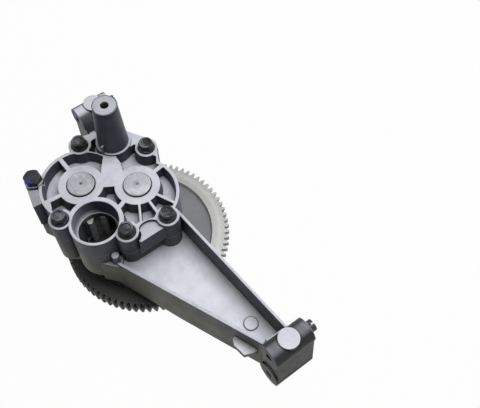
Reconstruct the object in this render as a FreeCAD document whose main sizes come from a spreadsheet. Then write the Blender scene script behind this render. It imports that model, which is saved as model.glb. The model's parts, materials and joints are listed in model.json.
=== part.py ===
import FreeCAD, Part
import math
import os
import re
import Sketcher

# Engine oil pump with helical drive gear, in millimetres.
# Z runs along the drive shaft, from the gear face at 0 up to the cover.
# X points along the arm and Y along the mounting bolts, towards the engine block.

DIMENSIONS = [
    ("gear_teeth", 77, "teeth of the drive gear"),
    ("gear_module", 2.5, "normal module of the drive gear"),
    ("gear_helix", 15, "helix angle of the drive gear, left hand"),
    ("gear_width", 15, "face width of the drive gear"),
    ("gear_rim", 81, "radius where the gear's rim meets the web"),
    ("gear_recess", 4, "depth of the web below each rim face"),
    ("gear_draft", 2.5, "draft of the recess walls, over their depth"),
    ("gear_hub", 24.2, "radius of the gear's hub"),
    ("gear_hub_gap", 0.5, "running gap between hub and housing"),
    ("shaft_radius", 15.5, "radius of both shafts"),
    ("shaft_proud", 2.5, "how far the shaft ends stand out of the cover"),
    ("shaft_chamfer", 0.8, "chamfer of the shaft ends"),
    ("shaft_clearance", 0.03, "radial clearance of the shafts in their bushes"),
    ("bush_wall", 3, "wall of the shaft bushes"),
    ("bush_length_cover", 22, "length of the cover bushes"),
    ("end_window", 1, "gap round the shaft end in the cover's face"),
    ("centre_distance", 63, "distance between the two shafts"),
    ("idler_angle", -127.2, "direction of the idler shaft from the drive shaft"),
    ("rotor_teeth", 12, "teeth of each pump rotor"),
    ("rotor_addendum", 4.5, "height of the rotor teeth above the pitch circle"),
    ("rotor_dedendum", 5.8, "depth of the rotor gaps below the pitch circle"),
    ("rotor_backlash", 0.3, "play between the rotor teeth, on the pitch circle"),
    ("rotor_length", 48, "length of the rotors"),
    ("rotor_end_gap", 0.05, "axial gap at each end of a rotor"),
    ("rotor_tip_gap", 0.08, "gap between rotor tips and the housing"),
    ("back_level", 26, "level of the housing's back face"),
    ("joint_level", 98, "level of the joint between housing and cover"),
    ("cover_thickness", 28, "thickness of the cover"),
    ("case_wall", 10.9, "wall round the idler rotor"),
    ("case_shift_across", 8.5, "shift of the case round the drive rotor, along X"),
    ("case_shift_down", 5.8, "shift of the case round the drive rotor, against Y"),
    ("case_step", 19, "height of the tapered back of the case"),
    ("case_taper", 10, "how much the back of the case tapers in"),
    ("pocket_depth", 16, "depth of the cover's pockets"),
    ("pocket_draft", 2, "draft of the pocket walls, over their depth"),
    ("pocket_rim", 3.5, "width of the rim outside the pockets"),
    ("pocket_rib", 5, "width of the ribs between the pockets"),
    ("thin_rib", 3, "width of the thin ribs between the pockets"),
    ("ring_radius", 25.5, "radius of the rings round the shaft ends"),
    ("bolt_radius", 5, "radius of the cover bolts"),
    ("bolt_clearance", 0.25, "clearance of the cover bolts in the cover"),
    ("bolt_reach", 20, "how deep the cover bolts reach into the housing"),
    ("bolt_flange", 10.2, "radius of the bolt flange"),
    ("bolt_flange_height", 2, "thickness of the bolt flange"),
    ("bolt_hex", 15, "width across flats of the bolt head"),
    ("bolt_head_height", 10, "height of the bolt head with its flange"),
    ("bolt_dish", 1.2, "depth of the dish in the bolt head"),
    ("boss_radius", 12.9, "radius of the bosses under the cover bolts"),
    ("inlet_across", 12, "X of the inlet port"),
    ("inlet_down", -62, "Y of the inlet port"),
    ("inlet_wall_radius", 29, "outer radius of the inlet port"),
    ("inlet_mouth_radius", 26, "radius of the inlet port's counterbore"),
    ("inlet_radius", 22, "radius of the inlet passage"),
    ("inlet_counterbore", 20, "depth of the inlet counterbore"),
    ("port_foot", 50, "level of the inlet tower's lower end"),
    ("inlet_floor", 56, "level of the inlet chamber's floor"),
    ("tall_across", -66, "X of the tall boss"),
    ("tall_down", 10, "Y of the tall boss"),
    ("tall_level", 194, "level of the tall boss's end face"),
    ("tall_radius", 13.9, "radius of the tall boss at its end"),
    ("tall_spread", 5.6, "how much wider the tall boss is at its foot"),
    ("tall_foot", 20.3, "radius of the flange at the tall boss's foot"),
    ("tall_foot_height", 2, "height of that flange above the cover"),
    ("tall_hole", 4.85, "radius of the tall boss's threaded hole"),
    ("tall_hole_depth", 35, "depth of that hole"),
    ("arm_wall", 3.2, "thickness of the arm's side walls"),
    ("arm_top", 110, "level of the top edge of the arm's walls"),
    ("arm_floor", 77, "level of the arm's floor, cover side"),
    ("arm_web", 6, "thickness of the arm's floor"),
    ("arm_root", 41, "X where the arm's lower wall starts"),
    ("arm_root_upper", 40, "X where the arm's upper wall starts"),
    ("arm_root_low", -67.7, "Y of the lower wall at its start"),
    ("arm_root_high", 22.2, "Y of the upper wall at its start"),
    ("arm_end_setback", 9.7, "from the arm's end to the axis of its upper barrel"),
    ("arm_end_low", 5.6, "Y of the lower wall at its end"),
    ("arm_end_high", 34.7, "Y of the upper wall at its end"),
    ("arm_under_start", 29, "level of the arm's lower edge at the case"),
    ("arm_under_bend", 125, "X where the arm's lower edge starts to rise"),
    ("arm_crest_start", 84, "level of the lower wall's top edge at the case"),
    ("arm_crest_end", 105, "level of the lower wall's top edge at its end"),
    ("arm_under_end", 40, "level of the arm's lower edge at its end"),
    ("barrel_radius", 14, "radius of the mounting barrels"),
    ("barrel_hole", 4.5, "radius of the mounting holes"),
    ("barrel_level", 108, "level of the upper mounting holes"),
    ("barrel_pad_radius", 11.6, "radius of the round pads on the barrels"),
    ("barrel_pad_height", 0.6, "height of the round pads above the barrels"),
    ("arm_barrel_across", 239.7, "X of the arm's upper barrel"),
    ("arm_barrel_low", -1, "Y of the arm barrels' outer face"),
    ("arm_barrel_high", 49, "Y of the arm barrels' seating face"),
    ("low_barrel_shift", 3.3, "how far the arm's lower barrel lies beyond the upper one"),
    ("low_barrel_level", 59, "level of the arm's lower barrel"),
    ("body_barrel_across", -131, "X of the body's barrel"),
    ("body_barrel_low", -3, "Y of the body barrel's outer face"),
    ("body_barrel_high", 41, "Y of the body barrel's seating face"),
    ("body_block_level", 46, "level of the body block's lower end"),
    ("sleeve_radius", 6.8, "outer radius of the dowel sleeves"),
    ("sleeve_seat_radius", 5.5, "radius of the sleeves' seat in the casting"),
    ("sleeve_length", 18, "length of the dowel sleeves"),
    ("centre_mark", 1.6, "radius and depth of the centre marks in the shaft ends"),
    ("sleeve_proud", 8, "how far the dowel sleeves stand out"),
    ("sleeve_slot", 1.8, "width of the slot in the dowel sleeves"),
    ("relief_across", -74, "X of the relief valve"),
    ("relief_down", -90, "Y of the relief valve"),
    ("relief_boss_radius", 12.4, "radius of the relief valve's boss"),
    ("relief_low", 42, "level of the relief boss's lower end"),
    ("relief_top_radius", 10.4, "radius of the relief boss at its top"),
    ("relief_drain", 4.6, "radius of the hole below the piston"),
    ("relief_seat", 62, "level of the piston's seat"),
    ("piston_radius", 7, "radius of the relief piston"),
    ("piston_clearance", 0.03, "radial clearance of the relief piston"),
    ("piston_length", 20, "length of the relief piston"),
    ("piston_crown", 4, "thickness of the relief piston's crown"),
    ("piston_wall", 1.1, "wall of the relief piston's skirt"),
    ("spring_wire", 0.8, "radius of the relief spring's wire"),
    ("spring_gap", 0.15, "gap between the spring and the piston's skirt"),
    ("spring_coils", 8, "coils of the relief spring"),
    ("seat_thickness", 2, "thickness of the spring seat"),
    ("seat_pin_radius", 3.4, "radius of the spring seat's pin"),
    ("seat_pin_length", 8, "length of the spring seat's pin"),
    ("plug_thread", 8.2, "radius of the relief plug's thread"),
    ("plug_reach", 20, "length of the relief plug's thread"),
    ("cover_gap", 0.3, "gap between the cover's edge and the casting beside it"),
    ("plug_hex", 18, "width across flats of the relief plug"),
    ("plug_head", 7.4, "height of the relief plug's head"),
    ("washer_radius", 10.2, "radius of the relief plug's washer"),
    ("washer_thickness", 1.6, "thickness of the relief plug's washer"),
    ("dowel_radius", 3, "radius of the cover dowels"),
    ("dowel_length", 16, "length of the cover dowels"),
    ("outlet_radius", 11, "radius of the outlet passage"),
    ("chamber_relief", 1.8, "how much wider the inlet chamber is than the port above it"),
    ("outlet_boss", 17, "radius of the outlet boss"),
    ("outlet_face", 41, "Y of the outlet's seating face"),
    ("outlet_level", 74, "level of the outlet passage"),
    ("land_drop", 4, "depth of the half-moon land below the cover's face"),
    ("land_radius", 15.5, "radius of the half-moon land"),
    ("flank_edge", 60.8, "X of the cover's straight side, beside the arm"),
    ("chamber_radius", 12, "radius of the outlet chamber beside the rotors"),
    ("chamber_floor", 56, "level of the outlet chamber's floor"),
    ("chamber_down", -9, "Y of the outlet chamber"),
    ("nub_radius", 4.2, "radius of the round nub at the arm's root"),
    ("nub_height", 13.5, "height of that nub above the lower wall"),
    ("disc_radius", 7.4, "radius of the round spot on the arm's floor"),
]

# Sizes that follow from the ones above, as formulas on the sheet.
FOLLOWING = [
    ("arm_end", "=arm_barrel_across - arm_end_setback", "X where the arm meets its end block"),
    ("low_barrel_across", "=arm_barrel_across + low_barrel_shift", "X of the arm's lower barrel"),
]

# Places of the five cover bolts, as X and Y from the drive shaft.
BOLT_PLACES = [(-85, -24), (-36.5, 36), (53, 5), (43, -41), (-13.5, -91)]

doc = FreeCAD.newDocument("OilPump")
sheet = doc.addObject("Spreadsheet::Sheet", "Sizes")
rows = DIMENSIONS + FOLLOWING + [
    ("bolt_%s_%s" % (word, side), place, "%s of the %s cover bolt" % (letter, word))
    for word, places in zip(("first", "second", "third", "fourth", "fifth"), BOLT_PLACES)
    for side, letter, place in zip(("across", "down"), "XY", places)
]
for line, (alias, value, meaning) in enumerate(rows, start=1):
    sheet.set("A%d" % line, alias)
    sheet.set("B%d" % line, str(value))
    sheet.setAlias("B%d" % line, alias)
    sheet.set("C%d" % line, meaning)
doc.recompute()
size = {alias: float(sheet.get(alias)) for alias, _, _ in rows}

# Lengths that several pieces share, as expressions on the sheet.
IDLER_X = "(centre_distance * cos(idler_angle))"
IDLER_Y = "(centre_distance * sin(idler_angle))"
COVER_TOP = "(joint_level + cover_thickness)"
SHAFT_TOP = "(joint_level + cover_thickness + shaft_proud)"
TIP_RADIUS = "(centre_distance / 2 + rotor_addendum)"
CAVITY_RADIUS = "(centre_distance / 2 + rotor_addendum + rotor_tip_gap)"
CASE_RADIUS = "(centre_distance / 2 + rotor_addendum + case_wall)"
CAVITY_FLOOR = "(joint_level - rotor_length)"
BUSH_RADIUS = "(shaft_radius + bush_wall)"
POCKET_FLOOR = "(joint_level + cover_thickness - pocket_depth)"
BORE_RADIUS = "(piston_radius + piston_clearance)"
PLUG_END = "(joint_level + cover_thickness - plug_reach)"
FIN = [
    ("tall_across + 7.4", "tall_down - 19.5"), ("tall_across + 9.2", "tall_down - 18.7"),
    ("tall_across + 2", "tall_down"), ("tall_across", "tall_down"),
]
BOLTS = [
    ("bolt_%s_across" % word, "bolt_%s_down" % word)
    for word in ("first", "second", "third", "fourth", "fifth")
]


def bound(expression):
    """The expression with every size read from the sheet."""
    return re.sub(r"[a-z]+(?:_[a-z]+)+", lambda match: "Sizes." + match.group(0), str(expression))


def put(thing, place, turn=None):
    """Bind the thing's place, and its turn about an axis, to the sheet."""
    if turn is not None:
        axis, angle = turn
        thing.Placement = FreeCAD.Placement(FreeCAD.Vector(), FreeCAD.Rotation(axis, 1))
        thing.setExpression("Placement.Rotation.Angle", bound(angle))
    for letter, value in zip("xyz", place):
        thing.setExpression("Placement.Base." + letter, bound(value))
    return thing


X_AXIS = FreeCAD.Vector(1, 0, 0)
Y_AXIS = FreeCAD.Vector(0, 1, 0)
Z_AXIS = FreeCAD.Vector(0, 0, 1)
ALONG_Y = (X_AXIS, -90)


def cylinder(name, radius, height, place, turn=None):
    """A round bar; its height runs along Z, or along Y when turned by ALONG_Y."""
    bar = doc.addObject("Part::Cylinder", name)
    bar.setExpression("Radius", bound(radius))
    bar.setExpression("Height", bound(height))
    return put(bar, place, turn)


def cone(name, low_radius, high_radius, height, place, turn=None):
    """A tapered bar along Z."""
    bar = doc.addObject("Part::Cone", name)
    bar.setExpression("Radius1", bound(low_radius))
    bar.setExpression("Radius2", bound(high_radius))
    bar.setExpression("Height", bound(height))
    return put(bar, place, turn)


def box(name, length, width, height, place, turn=None):
    """A block from its lowest corner."""
    block = doc.addObject("Part::Box", name)
    block.setExpression("Length", bound(length))
    block.setExpression("Width", bound(width))
    block.setExpression("Height", bound(height))
    return put(block, place, turn)


def draw(sketch, points):
    """Draw a closed outline; two dimensions on the sheet hold each corner."""
    count = len(points)
    guess = [
        FreeCAD.Vector(50 * math.cos(2 * math.pi * i / count), 50 * math.sin(2 * math.pi * i / count), 0)
        for i in range(count)
    ]
    for i in range(count):
        sketch.addGeometry(Part.LineSegment(guess[i], guess[(i + 1) % count]), False)
    for i in range(count):
        sketch.addConstraint(Sketcher.Constraint("Coincident", i, 2, (i + 1) % count, 1))
    for i, corner in enumerate(points):
        for kind, start, value in zip(("DistanceX", "DistanceY"), guess[i], corner):
            row = sketch.addConstraint(Sketcher.Constraint(kind, -1, 1, i, 1, start))
            sketch.setExpression("Constraints[%d]" % row, bound(value))
    return sketch


def slab(name, points, low, high):
    """An upright plate with the outline in X and Y, between two levels."""
    sketch = doc.addObject("Sketcher::SketchObject", name + "_outline")
    put(draw(sketch, points), ("0", "0", low))
    plate = doc.addObject("Part::Extrusion", name)
    plate.Base = sketch
    plate.DirMode = "Custom"
    plate.Dir = Z_AXIS
    plate.Solid = True
    plate.setExpression("LengthFwd", bound("(%s) - (%s)" % (high, low)))
    return plate


def side_slab(name, points, low, high):
    """A plate with the outline in X and Z, between two places along Y."""
    sketch = doc.addObject("Sketcher::SketchObject", name + "_outline")
    put(draw(sketch, points), ("0", low, "0"), (X_AXIS, 90))
    plate = doc.addObject("Part::Extrusion", name)
    plate.Base = sketch
    plate.DirMode = "Custom"
    plate.Dir = Y_AXIS
    plate.Solid = True
    plate.setExpression("LengthFwd", bound("(%s) - (%s)" % (high, low)))
    return plate


def join(name, pieces):
    """Fuse the pieces into one solid."""
    fused = doc.addObject("Part::MultiFuse", name)
    fused.Shapes = pieces
    fused.Refine = True
    return fused


def overlap(name, pieces):
    """What all the pieces share."""
    shared = doc.addObject("Part::MultiCommon", name)
    shared.Shapes = pieces
    return shared


def cut(name, base, tools):
    """The base without the tools."""
    tool = tools[0] if len(tools) == 1 else join(name + "_cutters", tools)
    result = doc.addObject("Part::Cut", name)
    result.Base = base
    result.Tool = tool
    result.Refine = True
    return result


def turned(name, profile, place=("0", "0", "0")):
    """A body turned from a profile of radius and level, on an axis along Z."""
    body = doc.addObject("PartDesign::Body", name)
    sketch = body.newObject("Sketcher::SketchObject", name + "_profile")
    plane = [feature for feature in body.Origin.OriginFeatures if feature.Role == "XZ_Plane"][0]
    sketch.AttachmentSupport = [(plane, "")]
    sketch.MapMode = "FlatFace"
    draw(sketch, profile)
    revolution = body.newObject("PartDesign::Revolution", name + "_turned")
    revolution.Profile = sketch
    revolution.ReferenceAxis = (sketch, ["V_Axis"])
    revolution.Angle = 360
    body.Tip = revolution
    return put(body, place)


def involute(angle):
    """The involute function of an angle in radians."""
    return math.tan(angle) - angle


def tooth_outline(teeth, pitch_radius, pressure_angle, tooth_width, root_radius, tip_radius, turn):
    """Closed outline of a gear: root arc, involute flank, tip arc and flank for each tooth."""
    base_radius = pitch_radius * math.cos(pressure_angle)
    start_radius = max(base_radius, root_radius)
    half_at_pitch = tooth_width / (2 * pitch_radius)

    def half_width(radius):
        rolled = math.acos(min(1.0, base_radius / radius))
        return half_at_pitch + involute(pressure_angle) - involute(rolled)

    def point(radius, angle):
        return FreeCAD.Vector(radius * math.cos(angle), radius * math.sin(angle), 0)

    def arc(first, middle, last):
        return Part.Arc(point(*first), point(*middle), point(*last)).toShape()

    pitch = 2 * math.pi / teeth
    middle_radius = (start_radius + tip_radius) / 2
    edges = []
    for number in range(teeth):
        centre = turn + number * pitch
        left = centre + pitch
        foot = half_width(start_radius)
        knee = half_width(middle_radius)
        crest = half_width(tip_radius)
        if start_radius > root_radius:
            edges.append(Part.LineSegment(point(root_radius, centre - foot), point(start_radius, centre - foot)).toShape())
        edges.append(arc((start_radius, centre - foot), (middle_radius, centre - knee), (tip_radius, centre - crest)))
        edges.append(arc((tip_radius, centre - crest), (tip_radius, centre), (tip_radius, centre + crest)))
        edges.append(arc((tip_radius, centre + crest), (middle_radius, centre + knee), (start_radius, centre + foot)))
        if start_radius > root_radius:
            edges.append(Part.LineSegment(point(start_radius, centre + foot), point(root_radius, centre + foot)).toShape())
        edges.append(arc((root_radius, centre + foot), (root_radius, centre + pitch / 2), (root_radius, left - foot)))
    return Part.Wire(edges)


def helical_blank(name):
    """The drive gear's toothed blank: two tooth outlines, half a pitch apart, joined by ruled faces."""
    helix = math.radians(size["gear_helix"])
    teeth = int(size["gear_teeth"])
    transverse_module = size["gear_module"] / math.cos(helix)
    pitch_radius = teeth * transverse_module / 2
    pressure_angle = math.atan(math.tan(math.radians(20)) / math.cos(helix))
    tooth_width = math.pi * transverse_module / 2
    root_radius = pitch_radius - 1.25 * size["gear_module"]
    tip_radius = pitch_radius + size["gear_module"]
    twist = size["gear_width"] * math.tan(helix) / pitch_radius
    wires = []
    for level, turn in ((0, 0), (size["gear_width"], -twist)):
        wire = tooth_outline(teeth, pitch_radius, pressure_angle, tooth_width, root_radius, tip_radius, turn)
        wire.translate(FreeCAD.Vector(0, 0, level))
        wires.append(wire)
    blank = doc.addObject("Part::Feature", name)
    blank.Shape = Part.makeLoft(wires, True, True)
    return blank


def rotor_blank(name, turn):
    """A straight-toothed pump rotor, solid."""
    teeth = int(size["rotor_teeth"])
    pitch_radius = size["centre_distance"] / 2
    tooth_width = math.pi * pitch_radius / teeth - size["rotor_backlash"]
    wire = tooth_outline(
        teeth, pitch_radius, math.radians(25), tooth_width,
        pitch_radius - size["rotor_dedendum"], pitch_radius + size["rotor_addendum"], turn,
    )
    length = size["rotor_length"] - 2 * size["rotor_end_gap"]
    blank = doc.addObject("Part::Feature", name)
    blank.Shape = Part.Face(wire).extrude(FreeCAD.Vector(0, 0, length))
    return blank


def case(name, low, high, shrink="0", taper="0"):
    """The outline round both rotors, between two levels; taper widens it upwards."""
    drive_place = ("case_shift_across", "-case_shift_down", low)
    idler_place = (IDLER_X, IDLER_Y, low)
    height = "(%s) - (%s)" % (high, low)
    top = "(%s - %s)" % (CASE_RADIUS, shrink)
    bottom = "(%s - %s)" % (top, taper)
    parts = []
    for word, place in (("drive", drive_place), ("idler", idler_place)):
        if taper == "0":
            parts.append(cylinder("%s_%s_end" % (name, word), top, height, place))
        else:
            parts.append(cone("%s_%s_end" % (name, word), bottom, top, height, place))
    span_x = "(case_shift_across - %s)" % IDLER_X
    span_y = "(-case_shift_down - %s)" % IDLER_Y
    span = "sqrt(%s * %s + %s * %s)" % (span_x, span_x, span_y, span_y)
    half = bottom if taper != "0" else top
    middle_x = "%s + (%s) * (%s) / (%s)" % (IDLER_X, half, span_y, span)
    middle_y = "%s - (%s) * (%s) / (%s)" % (IDLER_Y, half, span_x, span)
    turn = (Z_AXIS, "atan(%s / %s)" % (span_y, span_x))
    parts.append(box(name + "_middle", span, "2 * (%s)" % half, height, (middle_x, middle_y, low), turn))
    return parts


def arm_outline(inset, start_shift="0"):
    """Corners of the arm, moved inwards from its side walls."""
    return [
        ("arm_root + %s" % start_shift, "arm_root_low + 1.07 * %s" % inset),
        ("arm_end - %s" % inset, "arm_end_low + 1.07 * %s" % inset),
        ("arm_end - %s" % inset, "arm_end_high - %s" % inset),
        ("arm_root_upper + %s" % start_shift, "arm_root_high - %s" % inset),
    ]


def make_arm():
    """The arm: two side walls and a floor between them, open above and below."""
    whole = slab("arm_whole", arm_outline("0"), "arm_under_start", "arm_top")
    above = slab("arm_space_above", arm_outline("arm_wall"), "arm_floor", "arm_top + 1")
    below = slab("arm_space_below", arm_outline("arm_wall"), "arm_under_start - 1", "arm_floor - arm_web")
    under = side_slab(
        "arm_under_cut",
        [
            ("arm_under_bend", "arm_under_start - 1"),
            ("arm_end + 1", "arm_under_start - 1"),
            ("arm_end + 1", "arm_under_end"),
            ("arm_under_bend", "arm_under_start"),
        ],
        "arm_root_low - 10", "arm_end_high + 10",
    )
    crest = side_slab(
        "arm_crest_cut",
        [
            ("arm_root - 2", "arm_crest_start"),
            ("arm_end + 1", "arm_crest_end"),
            ("arm_end + 1", "arm_top + 1"),
            ("arm_root - 2", "arm_top + 1"),
        ],
        "arm_root_low - 10", "arm_end_low + 2",
    )
    arm = cut("arm_channel", whole, [above, below, under, crest])
    nub = cylinder("arm_nub", "nub_radius", "arm_crest_start + nub_height - arm_floor",
                   ("arm_root + 4", "arm_root_low + 5.5", "arm_floor"))
    disc = cylinder("arm_disc", "disc_radius", "1.7", ("arm_end - 38", "14", "arm_floor - 0.5"))
    pad = slab(
        "arm_side_pad",
        [("arm_end - 38", "arm_end_low - 12.6"), ("arm_end - 35.5", "arm_end_low - 18"),
         ("arm_end - 29", "arm_end_low - 20.8"), ("arm_end - 14", "arm_end_low - 18.8"),
         ("arm_end - 10", "arm_end_low - 8.6"), ("arm_end - 9", "arm_end_low - 2.6")],
        "arm_floor - arm_web", "arm_floor + 2",
    )
    plate_round = cylinder("arm_plate_round", "12", "7", ("arm_end - 19", "20", "arm_floor - arm_web - 6"))
    plate_square = box("arm_plate_square", "13", "24", "7", ("arm_end - 19", "8", "arm_floor - arm_web - 6"))
    plate = join("arm_plate_whole", [plate_round, plate_square])
    dent_round = cylinder("arm_dent_round", "6.5", "5", ("arm_end - 19", "20", "arm_floor - arm_web - 7"))
    dent_square = box("arm_dent_square", "5", "13", "5", ("arm_end - 19", "13.5", "arm_floor - arm_web - 7"))
    return [arm, nub, disc, pad, cut("arm_plate", plate, [dent_round, dent_square])]


def barrel(name, radius, across, level, low, high):
    """A mounting barrel along Y."""
    return cylinder(name, radius, "%s - %s" % (high, low), (across, low, level), ALONG_Y)


def make_arm_block():
    """The block at the arm's end: two barrels and the web between them."""
    upper = barrel("arm_barrel_upper", "barrel_radius", "arm_barrel_across", "barrel_level",
                   "arm_barrel_low", "arm_barrel_high")
    lower = barrel("arm_barrel_lower", "barrel_radius + 1", "low_barrel_across", "low_barrel_level",
                   "arm_barrel_low", "arm_barrel_high - 1.5")
    web = side_slab(
        "arm_block_web",
        [
            ("arm_barrel_across - 11", "barrel_level"),
            ("low_barrel_across - 13", "low_barrel_level"),
            ("low_barrel_across + 14.5", "low_barrel_level"),
            ("arm_barrel_across + 13.5", "barrel_level"),
        ],
        "arm_barrel_low + 2", "arm_barrel_high - 1",
    )
    pad = cylinder("arm_barrel_pad", "barrel_pad_radius", "barrel_radius + barrel_pad_height",
                   ("arm_barrel_across", "(arm_barrel_low + arm_barrel_high) / 2", "barrel_level"))
    neck = box("arm_neck", "14", "29", "arm_top - arm_under_end - 6",
               ("arm_end - 6", "arm_end_low - 0.1", "arm_under_end + 3"))
    return [upper, lower, web, pad, neck]


def make_body_block():
    """The mount beside the case: one barrel on a tall block, and the bridge to the case."""
    upper = barrel("body_barrel", "barrel_radius + 1", "body_barrel_across", "barrel_level",
                   "body_barrel_low", "body_barrel_high")
    block = box("body_block", "29", "body_barrel_high - body_barrel_low - 4", "barrel_level - body_block_level",
                ("body_barrel_across - 14.5", "body_barrel_low + 2", "body_block_level"))
    bridge = box("body_bridge", "tall_across - body_barrel_across", "26", "30",
                 ("body_barrel_across", "body_barrel_low + 4", "joint_level - 34"))
    rib = box("body_rib", "tall_across - body_barrel_across - 14", "6", "34",
              ("body_barrel_across", "body_barrel_low + 12", "joint_level - 36"))
    pad = cylinder("body_barrel_pad", "barrel_pad_radius", "barrel_radius + 1 + barrel_pad_height",
                   ("body_barrel_across", "body_barrel_high - 20", "barrel_level"))
    return [upper, block, bridge, rib, pad]


def make_housing():
    """The housing: case round the rotors, arm, mounting blocks and relief valve boss."""
    step = "(back_level + case_step)"
    parts = case("case_upper", step, "joint_level")
    parts += case("case_lower", "back_level", step, "0", "case_taper")
    for number, (across, down) in enumerate(BOLTS, start=1):
        low = "port_foot + 4" if number == len(BOLTS) else "arm_floor - arm_web"
        parts.append(cylinder("bolt_column_%d" % number, "boss_radius", "joint_level - (%s)" % low,
                              (across, down, low)))
    parts.append(cylinder("inlet_tower", "inlet_wall_radius", "joint_level - port_foot",
                          ("inlet_across", "inlet_down", "port_foot")))
    parts.append(slab("tower_skirt",
                      [("bolt_fifth_across + 4", "bolt_fifth_down - 9"), ("inlet_across - 10", "inlet_down - 24"),
                       ("inlet_across", "inlet_down"), (IDLER_X, IDLER_Y), ("bolt_fifth_across - 10", "bolt_fifth_down")],
                      "port_foot - 5", "joint_level"))
    parts.append(slab("flank_block",
                      flank_outline("5"), "arm_floor - arm_web", "joint_level"))
    parts.append(slab("head_block", head_outline(), "joint_level - 38", "joint_level"))
    parts.append(cylinder("relief_boss", "relief_boss_radius", "joint_level - 30 - relief_low",
                          ("relief_across", "relief_down", "relief_low")))
    parts.append(cone("relief_boss_upper", "relief_boss_radius", "relief_top_radius", "cover_thickness + 30",
                      ("relief_across", "relief_down", "joint_level - 30")))
    parts.append(slab("relief_web",
                      [("relief_across - 4", "relief_down + 10"),
                       ("relief_across + 4", "relief_down - 10"),
                       (IDLER_X, IDLER_Y + " - 30"),
                       (IDLER_X + " - 20", IDLER_Y)],
                      "relief_low + 8", "joint_level - 4"))
    parts.append(slab("root_web",
                      [("inlet_across + 23.5", "inlet_down - 16.9"), ("arm_root + 14", "arm_root_low + 5.4"),
                       ("arm_root + 4", "arm_root_low + 14"), ("inlet_across", "inlet_down")],
                      "arm_under_start + 11", "arm_crest_start - 2"))
    raised = make_arm()
    raised.append(slab("gallery_pad",
                      [("relief_across + 8", "relief_down - 12"), ("relief_across + 13", "relief_down - 2"),
                       ("relief_across + 31", "relief_down - 7"), ("relief_across + 30", "relief_down - 17")],
                      "joint_level - 12", COVER_TOP))
    parts.append(slab("gallery_web",
                      [("relief_across + 12", "relief_down - 10"), ("relief_across + 16", "relief_down + 2"),
                       ("bolt_fifth_across - 6", "bolt_fifth_down + 8"), ("bolt_fifth_across - 10", "bolt_fifth_down - 5"),
                       ("relief_across + 30", "relief_down - 16")],
                      "port_foot + 14", "joint_level - 16"))
    parts.append(cylinder("outlet_flange", "outlet_boss", "outlet_face - tall_down",
                          ("tall_across", "tall_down", "outlet_level"), ALONG_Y))
    clear = join("cover_clearance", case("clearance_case", "joint_level", COVER_TOP + " + 1", "-cover_gap"))
    parts.append(cut("raised_parts", join("raised_whole", raised), [clear]))
    parts += make_arm_block() + make_body_block()
    solid = join("housing_solid", parts)

    holes = []
    for word, place in (("drive", ("0", "0")), ("idler", (IDLER_X, IDLER_Y))):
        holes.append(cylinder(word + "_cavity", CAVITY_RADIUS, "rotor_length + 1", place + (CAVITY_FLOOR,)))
    holes.append(cylinder("drive_bush_bore", BUSH_RADIUS, "joint_level", ("0", "0", "back_level - 1")))
    holes.append(cylinder("idler_bush_bore", BUSH_RADIUS, "joint_level",
                          (IDLER_X, IDLER_Y, "back_level + 4")))
    for number, (across, down) in enumerate(BOLTS, start=1):
        holes.append(cylinder("bolt_thread_%d" % number, "bolt_radius", "bolt_reach + 2",
                              (across, down, "joint_level - bolt_reach")))
    holes.append(cylinder("inlet_chamber", "inlet_radius + chamber_relief", "joint_level",
                          ("inlet_across", "inlet_down", "inlet_floor")))
    holes.append(slab("inlet_slot",
                      [("inlet_across - 12", "inlet_down - 6"), ("inlet_across + 10", "inlet_down + 10"),
                       ("-4", "-22"), (IDLER_X + " + 14", IDLER_Y + " + 14")],
                      "inlet_floor", "joint_level + 1"))
    holes.append(cylinder("outlet_chamber", "chamber_radius", "joint_level - chamber_floor + 4",
                          (IDLER_X + " - 2", "chamber_down", "chamber_floor")))
    holes.append(cylinder("outlet_turn", "outlet_radius", "outlet_level - chamber_floor",
                          ("tall_across", "tall_down - 4", "chamber_floor + 8")))
    holes.append(slab("outlet_link", [("tall_across - 4", "tall_down + 4"), ("tall_across + 2", "tall_down - 12"),
                                      ("-44", "-16"), ("-34", "0")], "chamber_floor + 8", "chamber_floor + 28"))
    holes.append(cylinder("outlet_bore", "outlet_radius", "outlet_face - tall_down + 8",
                          ("tall_across", "tall_down - 4", "outlet_level"), ALONG_Y))
    holes += relief_holes()
    holes += barrel_holes()
    holes += dowel_bars("dowel_hole", "dowel_radius", "dowel_length / 2 + 1", "joint_level - dowel_length / 2")
    return cut("housing", solid, holes)


def relief_holes():
    """Drain, piston bore, thread and gallery of the relief valve."""
    place = ("relief_across", "relief_down")
    drain = cylinder("relief_drain_hole", "relief_drain", "relief_seat - relief_low + 2", place + ("relief_low - 1",))
    bore = cylinder("relief_bore", BORE_RADIUS, "%s - relief_seat + 1" % PLUG_END, place + ("relief_seat",))
    thread = cylinder("relief_thread", "plug_thread", "plug_reach + 1", place + (PLUG_END,))
    return [drain, bore, thread]


def barrel_holes():
    """Mounting holes through the barrels, with seats for the dowel sleeves."""
    holes = []
    for name, across, level, low, high in (
            ("arm_upper", "arm_barrel_across", "barrel_level", "arm_barrel_low", "arm_barrel_high"),
            ("arm_lower", "low_barrel_across", "low_barrel_level", "arm_barrel_low", "arm_barrel_high"),
            ("body", "body_barrel_across", "barrel_level", "body_barrel_low", "body_barrel_high")):
        holes.append(cylinder(name + "_hole", "barrel_hole", "%s - %s + 2" % (high, low),
                              (across, low + " - 1", level), ALONG_Y))
        if name != "arm_lower":
            holes.append(cylinder(name + "_sleeve_seat", "sleeve_seat_radius", "sleeve_length - sleeve_proud + 1",
                                  (across, "%s - sleeve_length + sleeve_proud" % high, level), ALONG_Y))
    return holes


def dowel_bars(name, radius, height, low):
    """Two bars at the places of the cover dowels."""
    places = (("upper", ("-49", "-2")), ("lower", ("39", "-21")))
    return [cylinder("%s_%s" % (name, word), radius, height, place + (low,)) for word, place in places]


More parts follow.
